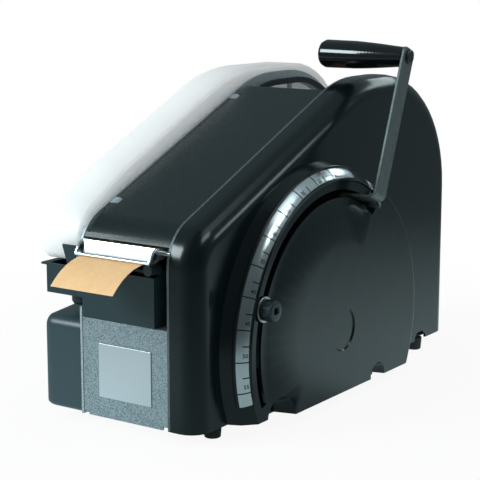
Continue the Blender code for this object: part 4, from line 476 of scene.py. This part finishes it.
def knurledKnob(look):  # straight knurling, and a six-sided socket in its end
    low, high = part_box("stop_knob")
    centre = (low + high) / 2
    outer = (high.z - low.z) / 2
    count = look["ridges"] * 4

    def ring(x, radius, knurl=0.0, six=False):
        points = []
        for i, (c, s) in enumerate(circle(count)):
            size = radius - knurl * (0.0, 1.0, 1.0, 0.0)[i % 4]
            if six:
                size = radius / math.cos((math.tau * i / count + math.pi / 6) % (math.pi / 3) - math.pi / 6)
            points.append((x, centre.y + size * c, centre.z + size * s))
        return points

    inset, knurl, socket = look["chamfer"], look["depth"], look["socket"]
    bm = bmesh.new()
    addRings(bm, [
        ring(low.x, look["bore"]),
        ring(low.x, outer - inset),
        ring(low.x + inset, outer, knurl),
        ring(high.x - inset, outer, knurl),
        ring(high.x - inset * 0.4, outer - inset * 0.5),
        ring(high.x, outer - inset * 1.4),
        ring(high.x, socket + 0.0016),
        ring(high.x - 0.0006, socket + 0.0010),
        ring(high.x - 0.0006, socket, 0.0, True),
        ring(high.x - look["socketDepth"], socket, 0.0, True),
        ring(high.x - look["socketDepth"] - 0.0005, 0.0008),
    ])
    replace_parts(addPiece("knurledKnob", bm, "blackSteel", "knob"), "stop_knob")


coverLook = {  # lengths in metres, angles in degrees round the dial
    "faceX": 0.104, "faceStart": 0.0852,  # the bulge's face, and where the cone round it starts
    "trackX": 0.0925, "faceRadius": 0.122, "trackFit": 0.0008, "radiusFit": 0.0006,  # the cone's foot, on the track
    "topLift": (98.0, 117.0),  # over which the cone's foot rises to the face
    "topEnd": (118.4, 125.0), "topRadius": 0.137,  # the track's end above the lever, level with the face
    "runOut": -24.4, "fadeOut": (-26.0, -37.0), "notch": -0.1205, "wall": 0.0025,
}
trackSection = (  # radius and x
    (0.0850, 0.1040), (0.1220, 0.0925), (0.1315, 0.0920), (0.1410, 0.0915), (0.1493, 0.0911), (0.1505, 0.0923),
    (0.1610, 0.0815), (0.1620, 0.0805), (0.1660, 0.0705), (0.1680, 0.0645),
)


def smoothStep(value, start, end):
    share = min(max((value - start) / (end - start), 0.0), 1.0)
    return share * share * (3 - 2 * share)


def trackLevel(radius):
    for (r0, x0), (r1, x1) in zip(trackSection, trackSection[1:]):
        if radius <= r1:
            return x0 + (x1 - x0) * (radius - r0) / (r1 - r0)
    return trackSection[-1][1]


def mouldedCover(look):  # the cover, its track run out past the front notch and faded into the face at both ends
    bm = bmesh.new()
    bm.from_mesh(nodes["right_cover"].data)
    bmesh.ops.remove_doubles(bm, verts=bm.verts, dist=coincident)
    bm.normal_update()
    normals = [vert.normal.copy() for vert in bm.verts]
    for vert, normal in zip(bm.verts, normals):
        x, radius, degrees = dialPlace(vert.co)
        outer = normal.x > 0
        onFoot = abs(radius - look["faceRadius"]) < look["radiusFit"] and abs(x - look["trackX"]) < look["trackFit"]
        first, last = look["topEnd"]
        if onFoot:
            vert.co.x += (look["faceX"] - look["trackX"]) * smoothStep(degrees, *look["topLift"])
        elif outer and last > degrees > first and look["faceStart"] < radius < look["topRadius"]:
            vert.co.x = look["faceX"]
        elif look["runOut"] > degrees > -90 and radius > look["faceStart"]:
            fade = smoothStep(degrees, *look["fadeOut"]) if vert.co.y > look["notch"] else 0.0
            level = trackLevel(radius) * (1 - fade) + look["faceX"] * fade
            vert.co.x = min(x, level - (0.0 if outer else look["wall"]))
    cover = addPiece("mouldedCover", bm, "coverBlack", "frame", 32)
    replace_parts(cover, "right_cover")
    dressWith(cover, 0)


flapLook = {  # paths and places as y from the machine's front, and z
    "left": -0.0410, "right": 0.0440, "sheet": 0.0011, "earThick": 0.0014,
    "path": (  # from the rod over the face to the lip
        (0.0080, 0.1790), (0.0074, 0.1822), (0.0040, 0.1844), (-0.0030, 0.1857), (-0.0073, 0.1860),
        (-0.0120, 0.1746), (-0.0132, 0.1737), (-0.0172, 0.1735),
    ),
    "bead": (-0.0180, 0.1739), "beadRadius": 0.0013,
    "ear": (
        (-0.0186, 0.1726), (-0.0190, 0.1745), (-0.0160, 0.1792), (-0.0128, 0.1838), (-0.0085, 0.1860),
        (-0.0020, 0.1858), (0.0040, 0.1846), (0.0076, 0.1825), (0.0082, 0.1795), (0.0070, 0.1766),
        (0.0030, 0.1754), (-0.0040, 0.1740), (-0.0100, 0.1727),
    ),
    "rim": ((-0.0180, 0.1739), (-0.0152, 0.1785), (-0.0124, 0.1826), (-0.0086, 0.1850), (-0.0040, 0.1851)),
    "rimRadius": 0.0008,
    "stud": (-0.0108, 0.1792), "studRadius": 0.0031, "studReach": 0.0016,
    "studProfile": (  # shares of its reach and of its radius, from the ear outwards
        (0.0, 1.0), (0.55, 1.0), (0.75, 0.9), (0.75, 0.62), (0.3, 0.56), (0.3, 0.4), (0.8, 0.36), (1.0, 0.2),
    ),
}


def offsetPath(path, distance):  # the same bends, moved sideways; the path runs towards the front
    moved = []
    for i, point in enumerate(path):
        before, after = Vector(path[max(i - 1, 0)]), Vector(path[min(i + 1, len(path) - 1)])
        along = (after - before).normalized()
        moved.append((point[0] - along.y * distance, point[1] + along.x * distance))
    return moved


def pressureFlap(look):  # folded sheet over the tape, a rolled lip in front and an ear with its stud at each end
    def across(points, start, end):
        return [[(x - middle.x, y - middle.y, z) for y, z in points] for x in (start, end)]

    def tube(path, x, radius):
        sides = [(x - middle.x + radius * c, offsetPath(path, radius * s)) for c, s in circle(8)]
        return [[(side, run[i][0] - middle.y, run[i][1]) for side, run in sides] for i in range(len(path))]

    def disc(x, place, radius, count):
        y, z = place
        return [(x - middle.x, y + radius * c - middle.y, z + radius * s) for c, s in circle(count)]

    left, right, thick = look["left"], look["right"], look["earThick"]
    bm = bmesh.new()
    addRings(bm, across([*look["path"], *offsetPath(look["path"], look["sheet"])[::-1]], left, right))
    addRings(bm, [disc(x, look["bead"], look["beadRadius"], 14) for x in (left, right)])
    for start in (left - thick, right):
        addRings(bm, across(look["ear"], start, start + thick))
        addRings(bm, tube(look["rim"], start + thick, look["rimRadius"]))
    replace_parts(addPiece("pressureFlap", bm, "chrome", "pressure_flap", 40), "pressure_plate")
    bm = bmesh.new()
    for x in (left, right + thick):
        addRings(bm, [disc(x + look["studReach"] * reach, look["stud"], look["studRadius"] * share, 24)
                      for reach, share in look["studProfile"]])
    addPiece("flapStuds", bm, "blackSteel", "pressure_flap", 40)


plateLook = {"slope": 22.9, "crown": 0.160, "rear": 0.136, "topFront": 0.2958}  # the side plates' top edge
windowShadowLook = {  # the opening's edges as y from the machine's front and z
    "inset": 0.0068, "width": 0.0072, "proud": 0.0012, "front": 0.2905, "rear": 0.4565, "sill": 0.2348, "steps": 40,
    "section": ((0, 0), (0.08, 0.8), (0.2, 1), (0.8, 1), (0.95, 0.7), (1, 0), (1, -3.0), (0.9, -3.0), (0.9, -0.1)),
}


def plateTop(y, inset):  # height of the side plates' top edge at y from the machine's front, moved in by inset
    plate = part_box("left_side_plate")[1]
    rearStart = plate.y + middle.y - plateLook["rear"]
    if y > rearStart:
        radius = plateLook["rear"] - inset
        return plate.z - plateLook["rear"] + math.sqrt(max(radius ** 2 - (y - rearStart) ** 2, 0.0))
    crownStart = plateLook["topFront"] + plateLook["crown"] * math.tan(math.radians(plateLook["slope"]) / 2)
    if y > crownStart:
        return plate.z - inset
    radius = plateLook["crown"] - inset
    return plate.z - plateLook["crown"] + math.sqrt(radius ** 2 - (crownStart - y) ** 2)


def windowShadowBand(look):  # black band round the opening in the left plate, a little proud of it: painted shadow below the plate's top edge
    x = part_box("left_side_plate")[1].x

    def path(inset, shrink):
        front, rear, sill = look["front"] + shrink, look["rear"] - shrink, look["sill"] + shrink
        ys = [front + (rear - front) * i / look["steps"] for i in range(look["steps"] + 1)]
        return [(y, plateTop(y, inset)) for y in ys] + [(rear, sill), (front, sill)]

    rings = []
    for (y0, z0), (y1, z1) in zip(path(look["inset"], 0.0), path(look["inset"] + look["width"], look["width"])):
        rings.append([(x + look["proud"] * height, y0 + (y1 - y0) * share - middle.y, z0 + (z1 - z0) * share)
                      for share, height in look["section"]])
    bm = bmesh.new()
    addRings(bm, rings, closed=True)
    addPiece("windowShadowBand", bm, "lidBlack", "frame")


brushLook = {"columns": 26, "rows": 4, "sides": 6, "stock": 0.010}


def tuftedBrush(name, look):  # rows of bristle tufts in a moulded stock, in place of the block
    low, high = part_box(name)
    bm = bmesh.new()
    radius = (high.y - low.y) / look["rows"] / 2 * 0.8
    for column in range(look["columns"]):
        for row in range(look["rows"]):
            x = low.x + (high.x - low.x) * (column + 0.5) / look["columns"] + random.uniform(-0.0002, 0.0002)
            y = low.y + (high.y - low.y) * (row + 0.5) / look["rows"]
            top = high.z - random.uniform(0.0005, 0.0018)
            rings = []
            for z, share in ((low.z + look["stock"] - 0.002, 0.8), (high.z - 0.012, 0.95), (top, 1.12)):
                lean = random.uniform(-0.0003, 0.0003)
                rings.append([(min(max(x + lean + radius * share * c, low.x), high.x),
                               min(max(y + radius * share * s, low.y), high.y), z) for c, s in circle(look["sides"])])
            addRings(bm, rings)
    addRings(bm, [[(low.x, low.y, z), (high.x, low.y, z), (high.x, high.y, z), (low.x, high.y, z)]
                  for z in (low.z, low.z + look["stock"])])
    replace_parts(addPiece(name + "_tufts", bm, "bristle", "frame"), name)


mouldedCover(coverLook)
pressureFlap(flapLook)
scaleStrip(scaleLook)
scalePrint(scaleLook)
scaleLips(scaleLook)
knurledKnob(knobLook)
windowShadowBand(windowShadowLook)
for name in ("front_brush", "rear_brush"):
    tuftedBrush(name, brushLook)
print("details made")


# Floor, light and camera

stageLook = {
    "floorHalf": 6.0, "tint": "#D9F6FA", "lampTint": "#E6F7FA",
    "nearGlow": 0.92, "farGlow": 0.22, "glowRadii": (0.30, 1.10),  # floor as reflections see it, by distance
    "horizon": 0.2, "zenith": 0.3, "ambient": 0.52,
    "skySpan": (0.0, 0.9),  # height of the way up over which the horizon turns to the zenith
    "whiteRadii": (0.35, 0.8), "nearWhite": 0.92,  # floor as the camera sees it, plain white beyond these
    "darkSide": (0.75, -0.66), "flagEdges": (0.35, 0.93), "floorDarkening": 0.6, "roomDarkening": 0.7,  # black flags
    "lampAim": (0.0, 0.0, 0.15),
}


def rayShare(tree, *names):  # 1 for a ray of one of these kinds, else 0
    path = addNode(tree, "ShaderNodeLightPath")
    total = path.outputs[names[0]]
    for name in names[1:]:
        total = addNode(tree, "ShaderNodeMath", {"operation": "MAXIMUM"}, {0: total, 1: path.outputs[name]}).outputs[0]
    return total


def mapped(tree, value, inRange, outRange, smooth=False):
    ranges = {"From Min": inRange[0], "From Max": inRange[1], "To Min": outRange[0], "To Max": outRange[1]}
    settings = {"interpolation_type": "SMOOTHSTEP"} if smooth else {}
    return addNode(tree, "ShaderNodeMapRange", settings, {"Value": value, **ranges}).outputs[0]


def flagged(tree, vector, look, depth):  # 1, falling by depth towards the side where the black flags stand
    flat = addNode(tree, "ShaderNodeVectorMath", {"operation": "MULTIPLY"}, {0: vector, 1: (1, 1, 0)}).outputs[0]
    way = addNode(tree, "ShaderNodeVectorMath", {"operation": "NORMALIZE"}, {0: flat}).outputs[0]
    side = addNode(tree, "ShaderNodeVectorMath", {"operation": "DOT_PRODUCT"}, {0: way, 1: (*look["darkSide"], 0)})
    return mapped(tree, side.outputs["Value"], look["flagEdges"], (1.0, 1.0 - depth), True)


def paleFloor(look):  # white with a faint shadow for the camera, darker with distance for reflections
    bm = bmesh.new()
    half = look["floorHalf"]
    corners = ((-half, -half), (half, -half), (half, half), (-half, half))
    bm.faces.new([bm.verts.new((x, y, -0.0002)) for x, y in corners])
    mesh = bpy.data.meshes.new("floor")
    bm.to_mesh(mesh)
    bm.free()
    floor = bpy.data.objects.new("floor", mesh)
    bpy.context.scene.collection.objects.link(floor)
    material = bpy.data.materials.new("paleFloor")
    material.use_nodes = True
    tree = material.node_tree
    tree.nodes.clear()
    away = addNode(tree, "ShaderNodeVectorMath", {"operation": "LENGTH"}, {0: objectPoint(tree)}).outputs["Value"]
    white = addNode(tree, "ShaderNodeBsdfDiffuse", {}, {"Color": (0.9, 0.9, 0.9, 1)})
    glow = addNode(tree, "ShaderNodeEmission", {}, {"Color": (1, 1, 1, 1), "Strength": 1.0})
    bright = mapped(tree, away, look["whiteRadii"], (look["nearWhite"], 1.0), True)
    share = addNode(tree, "ShaderNodeMath", {"operation": "MULTIPLY"}, {0: rayShare(tree, "Is Camera Ray"), 1: bright})
    seen = addNode(tree, "ShaderNodeMixShader", {}, {0: share.outputs[0], 1: white.outputs[0], 2: glow.outputs[0]})
    fade = mapped(tree, away, look["glowRadii"], (look["nearGlow"], look["farGlow"]))
    flag = flagged(tree, objectPoint(tree), look, look["floorDarkening"])
    level = addNode(tree, "ShaderNodeMath", {"operation": "MULTIPLY"}, {0: fade, 1: flag}).outputs[0]
    mirror = addNode(tree, "ShaderNodeEmission", {}, {"Color": linear(look["tint"]), "Strength": level})
    reflected = rayShare(tree, "Is Glossy Ray", "Is Transmission Ray")
    shown = addNode(tree, "ShaderNodeMixShader", {}, {0: reflected, 1: seen.outputs[0], 2: mirror.outputs[0]})
    addNode(tree, "ShaderNodeOutputMaterial", {}, {"Surface": shown.outputs[0]})
    mesh.materials.append(material)


def studioWorld(look):  # white behind the object, an even room for matt surfaces and a darker one for reflections
    world = bpy.data.worlds.new("studio")
    bpy.context.scene.world = world
    world.use_nodes = True
    tree = world.node_tree
    tree.nodes.clear()
    way = addNode(tree, "ShaderNodeTexCoord").outputs["Generated"]
    up = addNode(tree, "ShaderNodeSeparateXYZ", {}, {0: way})
    sky = mapped(tree, up.outputs["Z"], look["skySpan"], (look["horizon"], look["zenith"]), True)
    flag = flagged(tree, way, look, look["roomDarkening"])
    level = addNode(tree, "ShaderNodeMath", {"operation": "MULTIPLY"}, {0: sky, 1: flag}).outputs[0]
    room = addNode(tree, "ShaderNodeBackground", {}, {"Color": (1, 1, 1, 1), "Strength": look["ambient"]})
    mirror = addNode(tree, "ShaderNodeBackground", {}, {"Color": linear(look["tint"]), "Strength": level})
    white = addNode(tree, "ShaderNodeBackground", {}, {"Color": (1, 1, 1, 1), "Strength": 1.0})
    reflected = rayShare(tree, "Is Glossy Ray", "Is Transmission Ray")
    first = addNode(tree, "ShaderNodeMixShader", {}, {0: reflected, 1: room.outputs[0], 2: mirror.outputs[0]})
    last = addNode(tree, "ShaderNodeMixShader", {},
                   {0: rayShare(tree, "Is Camera Ray"), 1: first.outputs[0], 2: white.outputs[0]})
    addNode(tree, "ShaderNodeOutputWorld", {}, {"Surface": last.outputs[0]})


lampLooks = {  # direction from the object, metres away, size, radiance, and whether matt surfaces get it
    "keySoftbox": {"from": (-0.54, -0.73, 0.44), "away": 2.4, "size": (0.95, 0.85), "radiance": 15.0},
    "overheadSoftbox": {"from": (0.50, 0.10, 0.86), "away": 1.9, "size": (0.9, 0.8), "radiance": 1.1},
    "crownSoftbox": {"from": (0.12, 0.84, 0.48), "away": 2.0, "size": (1.3, 0.26), "radiance": 3.8, "diffuse": False},
    "stripSoftbox": {"from": (0.68, 0.0, 0.71), "away": 1.9, "size": (0.85, 0.4), "radiance": 4.5, "diffuse": False},
    "slopeSoftbox": {"from": (0.76, 0.56, 0.34), "away": 2.0, "size": (0.35, 0.30), "radiance": 5.0, "diffuse": False},
}


def studioLamps(looks):
    for name, look in looks.items():
        light = bpy.data.lights.new(name, "AREA")
        light.shape = "RECTANGLE"
        light.size, light.size_y = look["size"]
        light.color = linear(stageLook["lampTint"])[:3]
        light.energy = look["radiance"] * math.pi * look["size"][0] * look["size"][1]
        lamp = bpy.data.objects.new(name, light)
        towards = Vector(look["from"]).normalized()
        lamp.location = towards * look["away"] + Vector(stageLook["lampAim"])
        lamp.rotation_euler = (-towards).to_track_quat("-Z", "Y").to_euler()
        lamp.visible_diffuse = look.get("diffuse", True)
        bpy.context.scene.collection.objects.link(lamp)


cameraLook = {"target": (-0.023, 0.226, 0.150), "turn": 34.51, "fall": 10.89, "distance": 1.594, "lens": 112.5}


def photoCamera(look):  # turn and fall are the angles that the object is seen from, to the right and from above
    turn, fall = math.radians(look["turn"]), math.radians(look["fall"])
    back = Vector((math.sin(turn) * math.cos(fall), -math.cos(turn) * math.cos(fall), math.sin(fall)))
    camera = bpy.data.objects.new("camera", bpy.data.cameras.new("camera"))
    camera.data.lens = look["lens"]
    camera.data.sensor_width = 36
    camera.location = Vector(look["target"]) - middle + back * look["distance"]
    camera.rotation_euler = (math.pi / 2 - fall, 0, turn)
    bpy.context.scene.collection.objects.link(camera)
    bpy.context.scene.camera = camera


paleFloor(stageLook)
studioWorld(stageLook)
studioLamps(lampLooks)
photoCamera(cameraLook)
bpy.context.scene.view_settings.view_transform = "Standard"
print("stage set")
